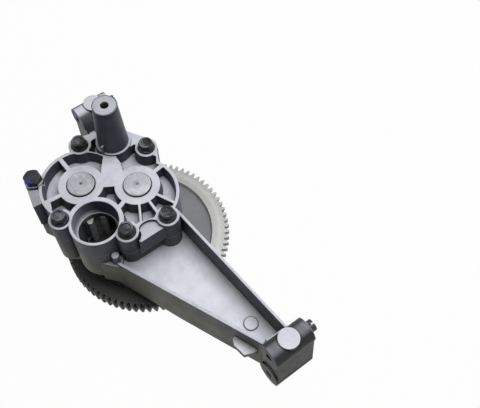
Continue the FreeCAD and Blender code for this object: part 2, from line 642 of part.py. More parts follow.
def head_outline():
    """Outline of the head that carries the tall boss, between the first two bolts."""
    return [
        ("bolt_first_across", "bolt_first_down - 6"),
        ("bolt_first_across - 9", "bolt_first_down + 10"),
        ("tall_across - 19", "tall_down + 3"),
        ("tall_across - 4", "tall_down + 20"),
        ("bolt_second_across - 8", "bolt_second_down + 10"),
        ("bolt_second_across + 11", "bolt_second_down + 7.5"),
        ("-4", "33"),
        ("0", "0"),
        (IDLER_X, IDLER_Y),
    ]


def flank_outline(inset):
    """Outline of the straight side between the third and fourth bolts; a cleft parts it from the fourth."""
    return [
        ("34", "-27"),
        ("bolt_fourth_across + 4", "bolt_fourth_down + boss_radius + 0.6"),
        ("flank_edge - 7 - %s" % inset, "bolt_fourth_down + boss_radius - 2"),
        ("flank_edge - %s" % inset, "bolt_fourth_down + boss_radius - 9"),
        ("flank_edge - %s" % inset, "bolt_third_down - 6"),
        ("bolt_third_across", "bolt_third_down"),
        ("0", "0"),
    ]


def make_cover():
    """The cover: pocketed plate with bolt bosses, inlet port and tall boss."""
    parts = case("cover_case", "joint_level", COVER_TOP)
    for number, (across, down) in enumerate(BOLTS, start=1):
        parts.append(cylinder("cover_boss_%d" % number, "boss_radius", "cover_thickness",
                              (across, down, "joint_level")))
    parts.append(cylinder("inlet_ring", "inlet_wall_radius", "cover_thickness",
                          ("inlet_across", "inlet_down", "joint_level")))
    parts.append(slab("cover_flank",
                      flank_outline("0"), "joint_level", COVER_TOP))
    parts.append(slab("cover_head", head_outline(), "joint_level", COVER_TOP))
    parts.append(cylinder("tall_flange", "tall_foot", "cover_thickness + tall_foot_height",
                          ("tall_across", "tall_down", "joint_level")))
    parts.append(cone("tall_boss", "tall_radius + tall_spread", "tall_radius",
                      "tall_level - joint_level", ("tall_across", "tall_down", "joint_level")))
    parts.append(slab("tall_fin", FIN, POCKET_FLOOR, COVER_TOP + " + 14"))
    plain = join("cover_plain", parts)

    holes = [make_pockets()]
    for word, place in (("drive", ("0", "0")), ("idler", (IDLER_X, IDLER_Y))):
        holes.append(cylinder("cover_%s_bore" % word, BUSH_RADIUS, "bush_length_cover + 1",
                              place + ("joint_level - 1",)))
        holes.append(cylinder("cover_%s_window" % word, "shaft_radius + end_window", "cover_thickness + 1",
                              place + ("joint_level",)))
    for number, (across, down) in enumerate(BOLTS, start=1):
        holes.append(cylinder("cover_bolt_hole_%d" % number, "bolt_radius + bolt_clearance",
                              "cover_thickness + 2", (across, down, "joint_level - 1")))
    holes.append(cylinder("inlet_passage", "inlet_radius", "cover_thickness + 2",
                          ("inlet_across", "inlet_down", "joint_level - 1")))
    holes.append(cone("inlet_mouth", "inlet_radius + 1", "inlet_mouth_radius", "inlet_counterbore",
                      ("inlet_across", "inlet_down", COVER_TOP + " - inlet_counterbore")))
    holes.append(cylinder("tall_thread", "tall_hole", "tall_hole_depth + 1",
                          ("tall_across", "tall_down", "tall_level - tall_hole_depth")))
    holes.append(half_moon())
    holes.append(cone("relief_bite", "relief_boss_radius + cover_gap", "relief_top_radius + cover_gap",
                      "cover_thickness + 30", ("relief_across", "relief_down", "joint_level - 30")))
    holes += dowel_bars("cover_dowel_hole", "dowel_radius", "dowel_length / 2 + 1", "joint_level - 1")
    return cut("cover", plain, holes)


def half_moon():
    """The round step beside the third bolt, with the bosses of its neighbours left standing."""
    place = ("flank_edge - 1.3", "(bolt_third_down + bolt_fourth_down) / 2 - 2")
    level = COVER_TOP + " - land_drop"
    disc = cylinder("half_moon_disc", "land_radius", "land_drop + 1", place + (level,))
    bosses = [
        cylinder("half_moon_boss_%d" % number, "boss_radius", "land_drop + 2", BOLTS[number - 1] + (level + " - 1",))
        for number in (3, 4)
    ]
    return cut("half_moon", disc, bosses)


def radial_rib(name, place, angle, width):
    """A rib that runs outwards from a shaft, at an angle to X."""
    bar = box(name, "60", width, "pocket_depth + 2", ("0", "0", POCKET_FLOOR + " - 1"), (Z_AXIS, angle))
    across = "%s + %s / 2 * sin(%s)" % (place[0], width, angle)
    down = "%s - %s / 2 * cos(%s)" % (place[1], width, angle)
    return put(bar, (across, down, POCKET_FLOOR + " - 1"))


def make_pockets():
    """The pockets of the cover: open areas less the rings, bosses, ribs and lands."""
    low = POCKET_FLOOR
    high = COVER_TOP + " + 1"
    depth = "pocket_depth"
    drive_case = ("case_shift_across", "-case_shift_down", low)
    idler_case = (IDLER_X, IDLER_Y, low)
    rim = "(%s - pocket_rim)" % CASE_RADIUS
    areas = [
        cone("idler_pocket_area", rim + " - pocket_draft", rim, depth, idler_case),
        cone("drive_pocket_area", rim + " - pocket_draft", rim, depth, drive_case),
        slab("upper_pocket_area",
             [("tall_across + 17.5", "1"), ("tall_across + 17.5", "27"), ("-19", "38"),
              ("-7", "30"), ("0", "0")], low, high),
        slab("between_pocket_area",
             [(IDLER_X + " + 10", IDLER_Y), ("-20.7", "-33"), ("-13.9", "-21"), ("0", "-10"),
              ("12", "-30"), ("-8", "-52")], low, high),
    ]
    areas.append(slab("foot_pocket_area",
                      [("-80.3", "-15.9"), ("-83", "-7.2"), ("-81", "-1.7"), ("-72.8", "2"), ("-54", "-3.7"),
                       ("-58", "-9.4"), ("-64.6", "-13.6"), ("-71.4", "-19.8")], low, high))
    lands = []
    for word, place in (("drive", ("0", "0")), ("idler", (IDLER_X, IDLER_Y))):
        lands.append(cone(word + "_ring", "ring_radius + pocket_draft", "ring_radius", depth, place + (low,)))
    for number, (across, down) in enumerate(BOLTS, start=1):
        lands.append(cone("boss_land_%d" % number, "boss_radius + pocket_draft", "boss_radius", depth,
                          (across, down, low)))
    lands.append(cone("inlet_land", "inlet_wall_radius + pocket_draft + 2", "inlet_wall_radius + 2", depth,
                      ("inlet_across", "inlet_down", low)))
    lands.append(slab("central_land",
                      [("-56", "-10"), ("tall_across + 17.5", "1"), ("-31", "-0.7"), ("-22", "-4"),
                       ("-13.9", "-21.4"), ("-20.7", "-33"), ("-40", "-23")], low, high))
    lands.append(slab("flank_land",
                      [("41", "-60"), ("41", "-24.5"), ("46", "-8"), ("42", "-2"), ("60", "0"), ("70", "-60")],
                      low, high))
    lands.append(slab("rim_land",
                      [("-47", "-98"), ("-37.5", "-89"), ("-30.5", "-91.6"), ("-25", "-98")], low, high))
    lands.append(cone("tall_land", "tall_radius + tall_spread + 1", "tall_radius + tall_spread", depth,
                      ("tall_across", "tall_down", low)))
    lands.append(slab("fin_land", FIN, low, high))
    idler_place = (IDLER_X, IDLER_Y)
    drive_place = ("0", "0")
    lands.append(radial_rib("idler_rib_upper", idler_place, "182", "pocket_rib"))
    lands.append(radial_rib("idler_rib_lower", idler_place, "266", "pocket_rib"))
    lands.append(radial_rib("drive_rib_inlet", drive_place, "-69", "pocket_rib"))
    lands.append(radial_rib("drive_rib_flank", drive_place, "-28", "thin_rib - 0.5"))
    lands.append(radial_rib("drive_rib_third", drive_place, "-2", "thin_rib"))
    lands.append(radial_rib("drive_rib_right", drive_place, "25", "thin_rib"))
    lands.append(radial_rib("drive_rib_upper", drive_place, "98", "pocket_rib"))
    open_area = join("pocket_areas", areas)
    return cut("pockets", open_area, lands)


def make_bolts():
    """Five hex flange bolts with dished heads."""
    hex_radius = "bolt_hex / (2 * cos(30))"
    bolts = []
    for number, (across, down) in enumerate(BOLTS, start=1):
        shank = cylinder("bolt_shank_%d" % number, "bolt_radius", "cover_thickness + bolt_reach",
                         (across, down, "joint_level - bolt_reach"))
        flange = cone("bolt_flange_%d" % number, "bolt_flange", "bolt_flange - 1.2", "bolt_flange_height",
                      (across, down, COVER_TOP))
        head = doc.addObject("Part::Prism", "bolt_head_%d" % number)
        head.Polygon = 6
        head.setExpression("Circumradius", bound(hex_radius))
        head.setExpression("Height", bound("bolt_head_height"))
        put(head, (across, down, COVER_TOP))
        crown = cone("bolt_crown_%d" % number, "bolt_hex", "bolt_hex / 2 - 0.2", "bolt_head_height",
                     (across, down, COVER_TOP))
        trimmed = overlap("bolt_trimmed_%d" % number, [head, crown])
        whole = join("bolt_whole_%d" % number, [shank, flange, trimmed])
        dish = cone("bolt_dish_%d" % number, "bolt_hex / 2 - 3", "bolt_hex / 2 - 2", "bolt_dish",
                    (across, down, COVER_TOP + " + bolt_head_height - bolt_dish"))
        bolts.append(cut("bolt_%d" % number, whole, [dish]))
    group = doc.addObject("Part::Compound", "cover_bolts")
    group.Links = bolts
    return group


def make_dowels():
    """Two dowel pins across the joint."""
    group = doc.addObject("Part::Compound", "cover_dowels")
    group.Links = dowel_bars("dowel", "dowel_radius", "dowel_length", "joint_level - dowel_length / 2")
    return group


def make_gear():
    """The drive gear: helical rim, recessed web and long hub."""
    blank = helical_blank("gear_blank")
    hub = cylinder("gear_hub_bar", "gear_hub", "back_level - gear_hub_gap", ("0", "0", "0"))
    whole = join("gear_whole", [blank, hub])
    low_space = cone("gear_recess_low", "gear_rim", "gear_rim - gear_draft", "gear_recess", ("0", "0", "0"))
    low_hub = cone("gear_hub_low", "gear_hub", "gear_hub + gear_draft", "gear_recess", ("0", "0", "0"))
    high_space = cone("gear_recess_high", "gear_rim - gear_draft", "gear_rim", "gear_recess",
                      ("0", "0", "gear_width - gear_recess"))
    high_hub = cone("gear_hub_high", "gear_hub + gear_draft", "gear_hub", "gear_recess",
                    ("0", "0", "gear_width - gear_recess"))
    low_ring = cut("gear_ring_low", low_space, [low_hub])
    high_ring = cut("gear_ring_high", high_space, [high_hub])
    bore = cylinder("gear_bore", "shaft_radius", "back_level + 2", ("0", "0", "-1"))
    return cut("drive_gear", whole, [low_ring, high_ring, bore])


def make_rotor(name, place, turn):
    """A rotor with its bore, on its shaft."""
    blank = rotor_blank(name + "_blank", turn)
    blank.Placement = FreeCAD.Placement()
    bore = cylinder(name + "_bore", "shaft_radius", "rotor_length + 2", ("0", "0", "-1"))
    rotor = cut(name, blank, [bore])
    return put(rotor, place + (CAVITY_FLOOR + " + rotor_end_gap",))


def make_shaft(name, place, low):
    """A ground shaft with chamfered ends."""
    profile = [
        ("0", low), ("shaft_radius - shaft_chamfer", low), ("shaft_radius", low + " + shaft_chamfer"),
        ("shaft_radius", SHAFT_TOP + " - shaft_chamfer"), ("shaft_radius - shaft_chamfer", SHAFT_TOP),
        ("centre_mark", SHAFT_TOP), ("0", SHAFT_TOP + " - centre_mark"),
    ]
    return turned(name, profile, place + ("0",))


def make_bush(name, place, low, high):
    """A plain bush for one shaft."""
    inner = "shaft_radius + shaft_clearance"
    return turned(name, [(inner, low), (BUSH_RADIUS, low), (BUSH_RADIUS, high), (inner, high)], place + ("0",))


def make_sleeve(name, across, high):
    """A slotted dowel sleeve in the mouth of a mounting hole."""
    low = "%s - sleeve_length + sleeve_proud" % high
    seat = cylinder(name + "_seat", "sleeve_seat_radius", "sleeve_length", (across, low, "barrel_level"), ALONG_Y)
    head = cylinder(name + "_head", "sleeve_radius", "sleeve_proud", (across, high, "barrel_level"), ALONG_Y)
    outer = join(name + "_outer", [seat, head])
    inner = cylinder(name + "_inner", "barrel_hole", "sleeve_length + 2",
                     (across, low + " - 1", "barrel_level"), ALONG_Y)
    slot = box(name + "_slot", "sleeve_slot", "sleeve_length + 2", "sleeve_radius + 1",
               (across + " - sleeve_slot / 2", low + " - 1", "barrel_level"))
    return cut(name, outer, [inner, slot])


def make_relief_valve():
    """Piston, spring, spring seat, washer and plug of the relief valve."""
    place = ("relief_across", "relief_down")
    skirt = "piston_radius - piston_wall"
    face = "(relief_seat + piston_crown)"
    rim = "relief_seat + piston_length"
    piston = turned("relief_piston", [
        ("0", "relief_seat"), ("piston_radius", "relief_seat"), ("piston_radius", rim),
        (skirt, rim), (skirt, face), ("0", face)], place + ("0",))
    seat_face = "(%s - seat_thickness)" % PLUG_END
    seat = turned("relief_spring_seat", [
        ("0", seat_face + " - seat_pin_length"), ("seat_pin_radius", seat_face + " - seat_pin_length"),
        ("seat_pin_radius", seat_face), ("piston_radius - 0.2", seat_face),
        ("piston_radius - 0.2", PLUG_END), ("0", PLUG_END)], place + ("0",))
    mean = "(piston_radius - piston_wall - spring_gap - spring_wire)"
    free_length = "(%s - %s - 2 * spring_wire)" % (seat_face, face)
    helix = doc.addObject("Part::Helix", "spring_path")
    helix.setExpression("Radius", bound(mean))
    helix.setExpression("Height", bound(free_length))
    helix.setExpression("Pitch", bound("%s / spring_coils" % free_length))
    wire = doc.addObject("Part::Circle", "spring_section")
    wire.setExpression("Radius", bound("spring_wire"))
    put(wire, (mean, "0", "0"), (X_AXIS, 90))
    spring = doc.addObject("Part::Sweep", "relief_spring")
    spring.Sections = [wire]
    spring.Spine = (helix, [])
    spring.Solid = True
    spring.Frenet = True
    put(spring, place + (face + " + spring_wire",))
    washer = turned("relief_plug_washer", [
        ("plug_thread", COVER_TOP), ("washer_radius", COVER_TOP),
        ("washer_radius", COVER_TOP + " + washer_thickness"),
        ("plug_thread", COVER_TOP + " + washer_thickness")], place + ("0",))
    thread = cylinder("plug_thread_bar", "plug_thread", "plug_reach + washer_thickness + 1", place + (PLUG_END,))
    head = doc.addObject("Part::Prism", "plug_head_hex")
    head.Polygon = 6
    head.setExpression("Circumradius", bound("plug_hex / (2 * cos(30))"))
    head.setExpression("Height", bound("plug_head"))
    put(head, place + (COVER_TOP + " + washer_thickness",))
    crown = cone("plug_crown", "plug_hex", "plug_hex / 2 - 0.2", "plug_head",
                 place + (COVER_TOP + " + washer_thickness",))
    plug = join("relief_plug", [thread, overlap("plug_trimmed", [head, crown])])
    return [piston, spring, seat, washer, plug]


def build():
    """Every piece of the pump, by the name of its node."""
    drive = ("0", "0")
    idler = (IDLER_X, IDLER_Y)
    mesh = math.radians(size["idler_angle"])
    half_tooth = math.pi / size["rotor_teeth"]
    cover_bush_top = "joint_level + bush_length_cover"
    pieces = [
        make_housing(),
        make_cover(),
        make_bolts(),
        make_dowels(),
        make_gear(),
        make_shaft("drive_shaft", drive, "0"),
        make_shaft("idler_shaft", idler, "(back_level + 5)"),
        make_rotor("drive_rotor", drive, mesh),
        make_rotor("idler_rotor", idler, mesh + math.pi + half_tooth),
        make_bush("housing_drive_bush", drive, "back_level", CAVITY_FLOOR),
        make_bush("housing_idler_bush", idler, "(back_level + 4)", CAVITY_FLOOR),
        make_bush("cover_drive_bush", drive, "joint_level", cover_bush_top),
        make_bush("cover_idler_bush", idler, "joint_level", cover_bush_top),
        make_sleeve("arm_dowel_sleeve", "arm_barrel_across", "arm_barrel_high"),
        make_sleeve("body_dowel_sleeve", "body_barrel_across", "body_barrel_high"),
    ]
    return pieces + make_relief_valve()


def check(pieces):
    """Stop if any object failed or any piece is not a valid shape."""
    doc.recompute()
    failed = [thing.Name for thing in doc.Objects if "Invalid" in thing.State or "Error" in thing.State]
    if failed:
        raise RuntimeError("failed objects: " + ", ".join(failed))
    for piece in pieces:
        if piece.Shape.isNull() or not piece.Shape.isValid():
            raise RuntimeError("bad shape: " + piece.Label)


def write(pieces):
    """Write each piece to a file named after its node."""
    os.makedirs("parts", exist_ok=True)
    for piece in pieces:
        piece.Shape.exportStep("parts/%s.step" % piece.Label)
        print("%-20s solids %d volume %.0f" % (piece.Label, len(piece.Shape.Solids), piece.Shape.Volume))


all_pieces = build()
check(all_pieces)
write(all_pieces)
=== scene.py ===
import json
from typing import NamedTuple

import bpy
import numpy as np
from bpy.props import FloatProperty, FloatVectorProperty, IntProperty, PointerProperty
from mathutils import Matrix, Vector


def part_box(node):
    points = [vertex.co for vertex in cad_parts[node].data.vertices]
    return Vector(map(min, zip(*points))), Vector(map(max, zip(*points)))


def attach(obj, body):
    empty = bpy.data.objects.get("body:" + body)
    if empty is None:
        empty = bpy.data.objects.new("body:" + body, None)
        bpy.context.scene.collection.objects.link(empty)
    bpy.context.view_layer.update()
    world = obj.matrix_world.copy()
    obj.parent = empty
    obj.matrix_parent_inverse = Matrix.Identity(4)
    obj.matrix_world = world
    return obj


bl_info = {
    "name": "Engine oil pump",
    "version": (1, 0, 0),
    "blender": (4, 5, 0),
    "location": "3D View > Sidebar > Oil pump",
    "description": "Finishes, small pieces and a studio for the engine oil pump",
    "category": "Object",
}

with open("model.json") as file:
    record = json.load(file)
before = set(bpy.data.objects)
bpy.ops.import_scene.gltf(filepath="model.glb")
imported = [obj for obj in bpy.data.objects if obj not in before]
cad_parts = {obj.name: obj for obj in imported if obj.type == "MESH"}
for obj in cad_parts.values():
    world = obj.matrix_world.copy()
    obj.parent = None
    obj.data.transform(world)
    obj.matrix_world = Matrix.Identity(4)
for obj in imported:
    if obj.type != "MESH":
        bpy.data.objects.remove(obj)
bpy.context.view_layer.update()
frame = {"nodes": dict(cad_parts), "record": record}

MOUNTS = {mount["name"]: mount for mount in frame["record"]["mounts"]}


# ---------------------------------------------------------------------------
# Sizes and colours


def colour(title, text, value):
    """A colour setting."""
    return FloatVectorProperty(
        name=title, description=text, default=value, size=3, min=0, max=1, subtype="COLOR"
    )


def length(title, text, value):
    """A length setting in metres."""
    return FloatProperty(name=title, description=text, default=value, min=0, unit="LENGTH", precision=5)


def power(title, text, value):
    """A lamp's power in watts."""
    return FloatProperty(name=title, description=text, default=value, min=0, unit="POWER")


def share(title, text, value):
    """A setting from nought to one."""
    return FloatProperty(name=title, description=text, default=value, min=0, max=1)


class PumpSizes(bpy.types.PropertyGroup):
    """Sizes of the thread and of the patterns in the finishes."""

    thread_pitch: length("Thread pitch", "Rise of the tall boss's thread in one turn", 0.0015)
    thread_depth: length("Thread depth", "Height of the thread's ridges", 0.0008)
    thread_turns: IntProperty(name="Thread turns", description="Turns of thread modelled", default=12, min=1)
    thread_inset: length("Thread inset", "How far below the boss's top the thread starts", 0.0012)
    thread_gap: length("Thread gap", "Gap between the thread's liner and the hole", 0.00002)
    cast_round: length("Cast rounding", "Radius of the rounding on cast edges", 0.0015)
    steel_round: length("Steel rounding", "Radius of the rounding on steel edges", 0.0004)
    grain: length("Cast grain", "Size of the grain on cast skin", 0.0011)
    zone_fade: length("Zone fade", "Width over which a zone's colour fades out", 0.0006)
    blend_low: length("Blend low", "Z up to which the housing's walls keep their own colour", 0.060)
    blend_high: length("Blend high", "Z from which they have the cover's wall colour", 0.110)
    end_start: length("Arm end start", "X where the arm's walls start to darken", 0.222)
    # Painted shade: the arm's floor darkens towards its root between these two values of X.
    end_full: length("Arm end full", "X where the arm's walls are darkest", 0.232)
    root_shade_full: length("Arm root full", "X up to which the arm's floor is dullest", 0.060)
    root_shade_end: length("Arm root end", "X where the arm's floor is clean", 0.105)
    # Painted shade: reach of the dark line round a round pad.
    pad_line: length("Pad line", "Reach of the dark line round a round pad", 0.0022)
    inlet_reach: length("Inlet reach", "Radius round the inlet's axis that is machined", 0.0266)
    seat_low: length("Seat band low", "Height over the inlet's seat up to which its wall is palest", 0.0040)
    seat_high: length("Seat band high", "Height over the inlet's seat where that pale band ends", 0.0075)
    dab_reach: length("Dab reach", "Reach of the paint dab with its ragged edge", 0.0126)
    rim_radius: length("Gear rim", "Inner radius of the gear's machined rim", 0.0785)
    root_radius: length("Gear root", "Radius at the root of the gear's teeth", 0.0960)
    rust_reach: length("Rust reach", "Reach of the rust patch on the gear", 0.030)


class PumpColours(bpy.types.PropertyGroup):
    """Colours of the finishes."""

    # Painted light: the castings' tops are made lighter where they face up.
    cast_top_lit: colour("Cast top", "Casting where it faces up", (0.440, 0.453, 0.500))
    # Painted light: the arm's floor is made lighter than the other tops.
    arm_floor_lit: colour("Arm floor", "Floor of the arm", (0.585, 0.60, 0.655))
    # Painted shade on the arm's floor towards its root.
    arm_root_shade: colour("Arm root", "Dull end of the arm's floor", (0.33, 0.325, 0.38))
    # Painted light: the side pad is made almost white.
    side_pad_lit: colour("Side pad", "Pad at the arm's side", (0.86, 0.88, 0.94))
    gallery_pad: colour("Gallery pad", "Top of the relief valve's boss", (0.24, 0.25, 0.28))
    # Painted shade: the top of the barrel at the arm's end is made dark.
    end_barrel_shade: colour("End barrel", "Top of the barrel at the arm's end", (0.066, 0.065, 0.082))
    end_pad: colour("End pad", "Round pad on that barrel", (0.70, 0.715, 0.785))
    boss_top: colour("Boss top", "Top of the tall boss", (0.30, 0.31, 0.345))
    # Painted shade: the castings' steep walls are made dark.
    cast_wall_shade: colour("Cast wall", "Steep walls of the cover", (0.062, 0.066, 0.084))
    olive_wall_shade: colour("Housing wall", "Steep walls of the housing", (0.090, 0.086, 0.060))
    # Painted shade: the walls at the arm's end are darker still.
    end_wall_shade: colour("End wall", "Steep walls at the arm's end", (0.017, 0.017, 0.014))
    # Worn edges and painted highlight: the casting is made lighter along its edges.
    edge: colour("Worn edge", "Casting along its edges", (0.60, 0.61, 0.65))
    scratch: colour("Scratch", "Scratches on the castings", (0.72, 0.73, 0.76))
    chip: colour("Chip", "Fresh chips in the housing", (0.80, 0.80, 0.80))
    # Painted shade and dirt: colour for corners and hollows found by ambient occlusion, and for the painted
    # shade lines round the pads.
    shade_and_dirt: colour("Grime", "Oil and dirt in the corners", (0.012, 0.012, 0.012))
    # Painted light and shade: the inlet's wall is pale on the side that faces the key lamp and dark on the
    # other.
    bore_shaded: colour("Bore dark", "Inlet wall that faces away from the engine block", (0.060, 0.068, 0.100))
    bore_lit: colour("Bore pale", "Inlet wall that faces the engine block", (0.46, 0.46, 0.53))
    # Painted light: a pale band over the inlet's seat, widest on the lit side.
    bore_seat_lit: colour("Bore seat", "Pale band over the inlet's seat", (0.86, 0.87, 0.90))
    # Painted shade: the inlet's walls below its seat are made almost black.
    bore_hole_shade: colour("Bore deep", "Oily walls below the inlet's seat", (0.016, 0.018, 0.020))
    black: colour("Black steel", "Phosphated bolts and plug", (0.011, 0.011, 0.013))
    # Settled dirt and painted highlight on the tops of black steel.
    dust_highlight: colour("Dust", "Dust on black steel", (0.110, 0.110, 0.130))
    # Wear and painted glints along the edges of black steel.
    rubbed_glint: colour("Rubbed edge", "Black steel along its edges", (0.34, 0.35, 0.38))
    paint: colour("Paint dab", "Assembler's paint on the relief plug", (0.008, 0.022, 0.17))
    steel: colour("Ground steel", "Shafts", (0.35, 0.36, 0.38))
    steel_mark: colour("Steel scratch", "Scratches on the shafts", (0.86, 0.86, 0.87))
    steel_eye: colour("Steel eye", "Dirt in the middle of a shaft's end", (0.045, 0.042, 0.04))
    # Painted shade and dirt round the shafts, from ambient occlusion.
    steel_shade_and_dirt: colour("Steel grime", "Dirt round the shafts", (0.03, 0.028, 0.025))
    gear_rim: colour("Gear rim", "Machined rim and teeth of the gear", (0.25, 0.25, 0.247))
    gear_sheen: colour("Gear sheen", "Paler rings on the gear's rim", (0.34, 0.34, 0.34))
    gear_mark: colour("Gear scratch", "Scratches on the gear's rim", (0.56, 0.56, 0.55))
    gear_web: colour("Gear web", "Cast web of the gear", (0.128, 0.131, 0.140))
    gear_patch: colour("Gear patch", "Darker patches on the web", (0.115, 0.116, 0.124))
    # Painted shade: the flanks between the gear's teeth are made dark.
    gear_flank_shade: colour("Gear flank", "Oil between the gear's teeth", (0.018, 0.018, 0.018))
    gear_edge: colour("Gear edge", "Gear along its edges", (0.60, 0.60, 0.59))
    # Painted shadow over the half of the gear that lies away from the block.
    gear_shadow: colour("Gear oil", "Oil on the gear's half that is away from the block", (0.034, 0.034, 0.032))
    # Painted shade and dirt in the gear's corners, from ambient occlusion.
    gear_shade_and_dirt: colour("Gear grime", "Dirt in the gear's corners", (0.022, 0.020, 0.018))
    rust: colour("Rust", "Light rust on the gear", (0.20, 0.085, 0.035))
    rotor: colour("Rotor", "Oiled rotor steel", (0.50, 0.50, 0.49))
    bronze: colour("Bronze", "Shaft bushes", (0.50, 0.36, 0.20))
    sleeve: colour("Sleeve", "Dowel sleeves and relief spring", (0.085, 0.085, 0.092))
    washer: colour("Washer", "Sealing washer of the relief plug", (0.62, 0.62, 0.63))
    dowel: colour("Dowel", "Cover dowels", (0.60, 0.60, 0.61))
    thread: colour("Thread", "Thread in the tall boss", (0.045, 0.045, 0.050))
    oiled_edge: colour("Oiled edge", "Oiled metal along its edges", (0.75, 0.75, 0.75))
    # Painted shade and dirt on oiled metal, from ambient occlusion.
    oiled_shade_and_dirt: colour("Oiled grime", "Dirt on oiled metal", (0.02, 0.018, 0.015))


class StageSettings(bpy.types.PropertyGroup):
    """Floor, light and camera."""

    floor_size: length("Floor size", "Side of the floor", 8.0)
    floor_grey: share("Floor grey", "Share of the light that the floor gives back", 0.30)
    floor_white: share("Floor white", "Share of plain white in what is seen of the floor", 0.98)
    sky: FloatProperty(name="Sky", description="Strength of the light from all round", default=0.11, min=0)
    lamp_size: length("Lamp size", "Side of each square lamp", 0.9)
    key: power("Key light", "Power of the large lamp above", 19.5)
    fill: power("Fill light", "Power of the side lamp", 2.0)
    back: power("Back light", "Power of the low lamp behind", 9.0)
    lens: FloatProperty(name="Lens", description="Focal length in mm", default=53.0749, min=1, unit="CAMERA")


class Zone(NamedTuple):
    """A box in which a casting's upward faces take a tint by a share, painted light in some zones and
    painted shade in one; a flagged one has little dirt and painted shade in its corners.
    """

    low: tuple
    high: tuple
    tint: tuple
    share: float
    clean_unshaded: bool


# ---------------------------------------------------------------------------
# Node helpers


def put(tree, kind, inputs=None, **settings):
    """A node; inputs maps socket names or numbers to values or to sockets that feed them."""
    made = tree.nodes.new(kind)
    for word, value in settings.items():
        setattr(made, word, value)
    for socket, value in (inputs or {}).items():
        if isinstance(value, bpy.types.NodeSocket):
            tree.links.new(value, made.inputs[socket])
        else:
            made.inputs[socket].default_value = value
    return made


def calc(tree, operation, first, second=0.5, third=0.5, clamp=False):
    """The result of a Math node."""
    sockets = {0: first, 1: second, 2: third}
    return put(tree, "ShaderNodeMath", sockets, operation=operation, use_clamp=clamp).outputs[0]


def times(tree, first, second, clamp=False):
    """The product of two values."""
    return calc(tree, "MULTIPLY", first, second, clamp=clamp)


def rest_of(tree, share):
    """One less a share."""
    return calc(tree, "SUBTRACT", 1.0, share)


def blend(tree, share, first, second):
    """Two colours mixed by a share."""
    mixer = put(tree, "ShaderNodeMix", {0: share, 6: first, 7: second}, data_type="RGBA")
    return mixer.outputs[2]


def between(tree, value, low, high, start=0.0, end=1.0):
    """A value eased from start to end while it goes from low to high."""
    sockets = {"Value": value, "From Min": low, "From Max": high, "To Min": start, "To Max": end}
    return put(tree, "ShaderNodeMapRange", sockets, interpolation_type="SMOOTHSTEP").outputs[0]


def place_of(tree):
    """The object coordinates."""
    return put(tree, "ShaderNodeTexCoord").outputs["Object"]


def split(tree, vector):
    """The X, Y and Z of a vector, by name."""
    return put(tree, "ShaderNodeSeparateXYZ", {0: vector}).outputs


def facing_of(tree):
    """The X, Y and Z of the direction in which the surface faces on the piece."""
    return split(tree, put(tree, "ShaderNodeTexCoord").outputs["Normal"])


def size_of(tree, vector):
    """The length of a vector."""
    return put(tree, "ShaderNodeVectorMath", {0: vector}, operation="LENGTH").outputs["Value"]


def flat_of(tree, vector):
    """A vector without its Z."""
    parts = split(tree, vector)
    return put(tree, "ShaderNodeCombineXYZ", {"X": parts["X"], "Y": parts["Y"]}).outputs[0]


def noise(tree, scale, detail, roughness=0.5):
    """Noise over the object coordinates, from 0 to 1."""
    sockets = {"Vector": place_of(tree), "Scale": scale, "Detail": detail, "Roughness": roughness}
    return put(tree, "ShaderNodeTexNoise", sockets).outputs[0]


def group(name, inputs, outputs):
    """An empty node group with its sockets: (tree, its inputs, its output node)."""
    tree = bpy.data.node_groups.new(name, "ShaderNodeTree")
    for title, kind, value in inputs:
        socket = tree.interface.new_socket(name=title, in_out="INPUT", socket_type=kind)
        socket.default_value = value
    for title, kind in outputs:
        tree.interface.new_socket(name=title, in_out="OUTPUT", socket_type=kind)
    source = tree.nodes.new("NodeGroupInput")
    target = tree.nodes.new("NodeGroupOutput")
    return tree, source.outputs, target


def place_group(tree, name, **inputs):
    """The outputs of a group placed in a material with its own values."""
    made = tree.nodes.new("ShaderNodeGroup")
    made.node_tree = bpy.data.node_groups[name]
    for word, value in inputs.items():
        socket = made.inputs[word]
        if isinstance(value, bpy.types.NodeSocket):
            tree.links.new(value, socket)
        else:
            socket.default_value = value
    return made.outputs


NUMBER = "NodeSocketFloat"
VECTOR = "NodeSocketVector"


def make_round_edge():
    """Normals rounded over edges, and a mask of the edges that stand out."""
    sockets = [("Radius", NUMBER, 0.001)]
    tree, given, result = group("Round edge", sockets, [("Normal", VECTOR), ("Edge", NUMBER)])
    rounded = put(tree, "ShaderNodeBevel", {"Radius": given["Radius"]}, samples=6).outputs[0]
    flat = put(tree, "ShaderNodeNewGeometry").outputs["Normal"]
    same = put(tree, "ShaderNodeVectorMath", {0: rounded, 1: flat}, operation="DOT_PRODUCT")
    turned = rest_of(tree, same.outputs["Value"])
    reach = times(tree, given["Radius"], 3.0)
    open_side = put(tree, "ShaderNodeAmbientOcclusion", {"Distance": reach}, samples=6)
    outward = between(tree, open_side.outputs["AO"], 0.55, 0.95)
    edge = times(tree, between(tree, turned, 0.02, 0.16), outward, clamp=True)
    tree.links.new(rounded, result.inputs["Normal"])
    tree.links.new(edge, result.inputs["Edge"])


def make_shade_and_dirt():
    """A mask of painted shade and dirt in corners and hollows, from ambient occlusion, broken up by noise.
    """
    sockets = [("Reach", NUMBER, 0.01), ("Amount", NUMBER, 1.0)]
    tree, given, result = group("Settled grime", sockets, [("Mask", NUMBER)])
    near = put(tree, "ShaderNodeAmbientOcclusion", {"Distance": given["Reach"]}, samples=8)
    hidden = between(tree, near.outputs["AO"], 0.95, 0.25)
    broken = between(tree, noise(tree, 90.0, 5.0, 0.62), 0.25, 0.75, 0.55, 1.15)
    mask = times(tree, times(tree, hidden, broken), given["Amount"], clamp=True)
    tree.links.new(mask, result.inputs["Mask"])


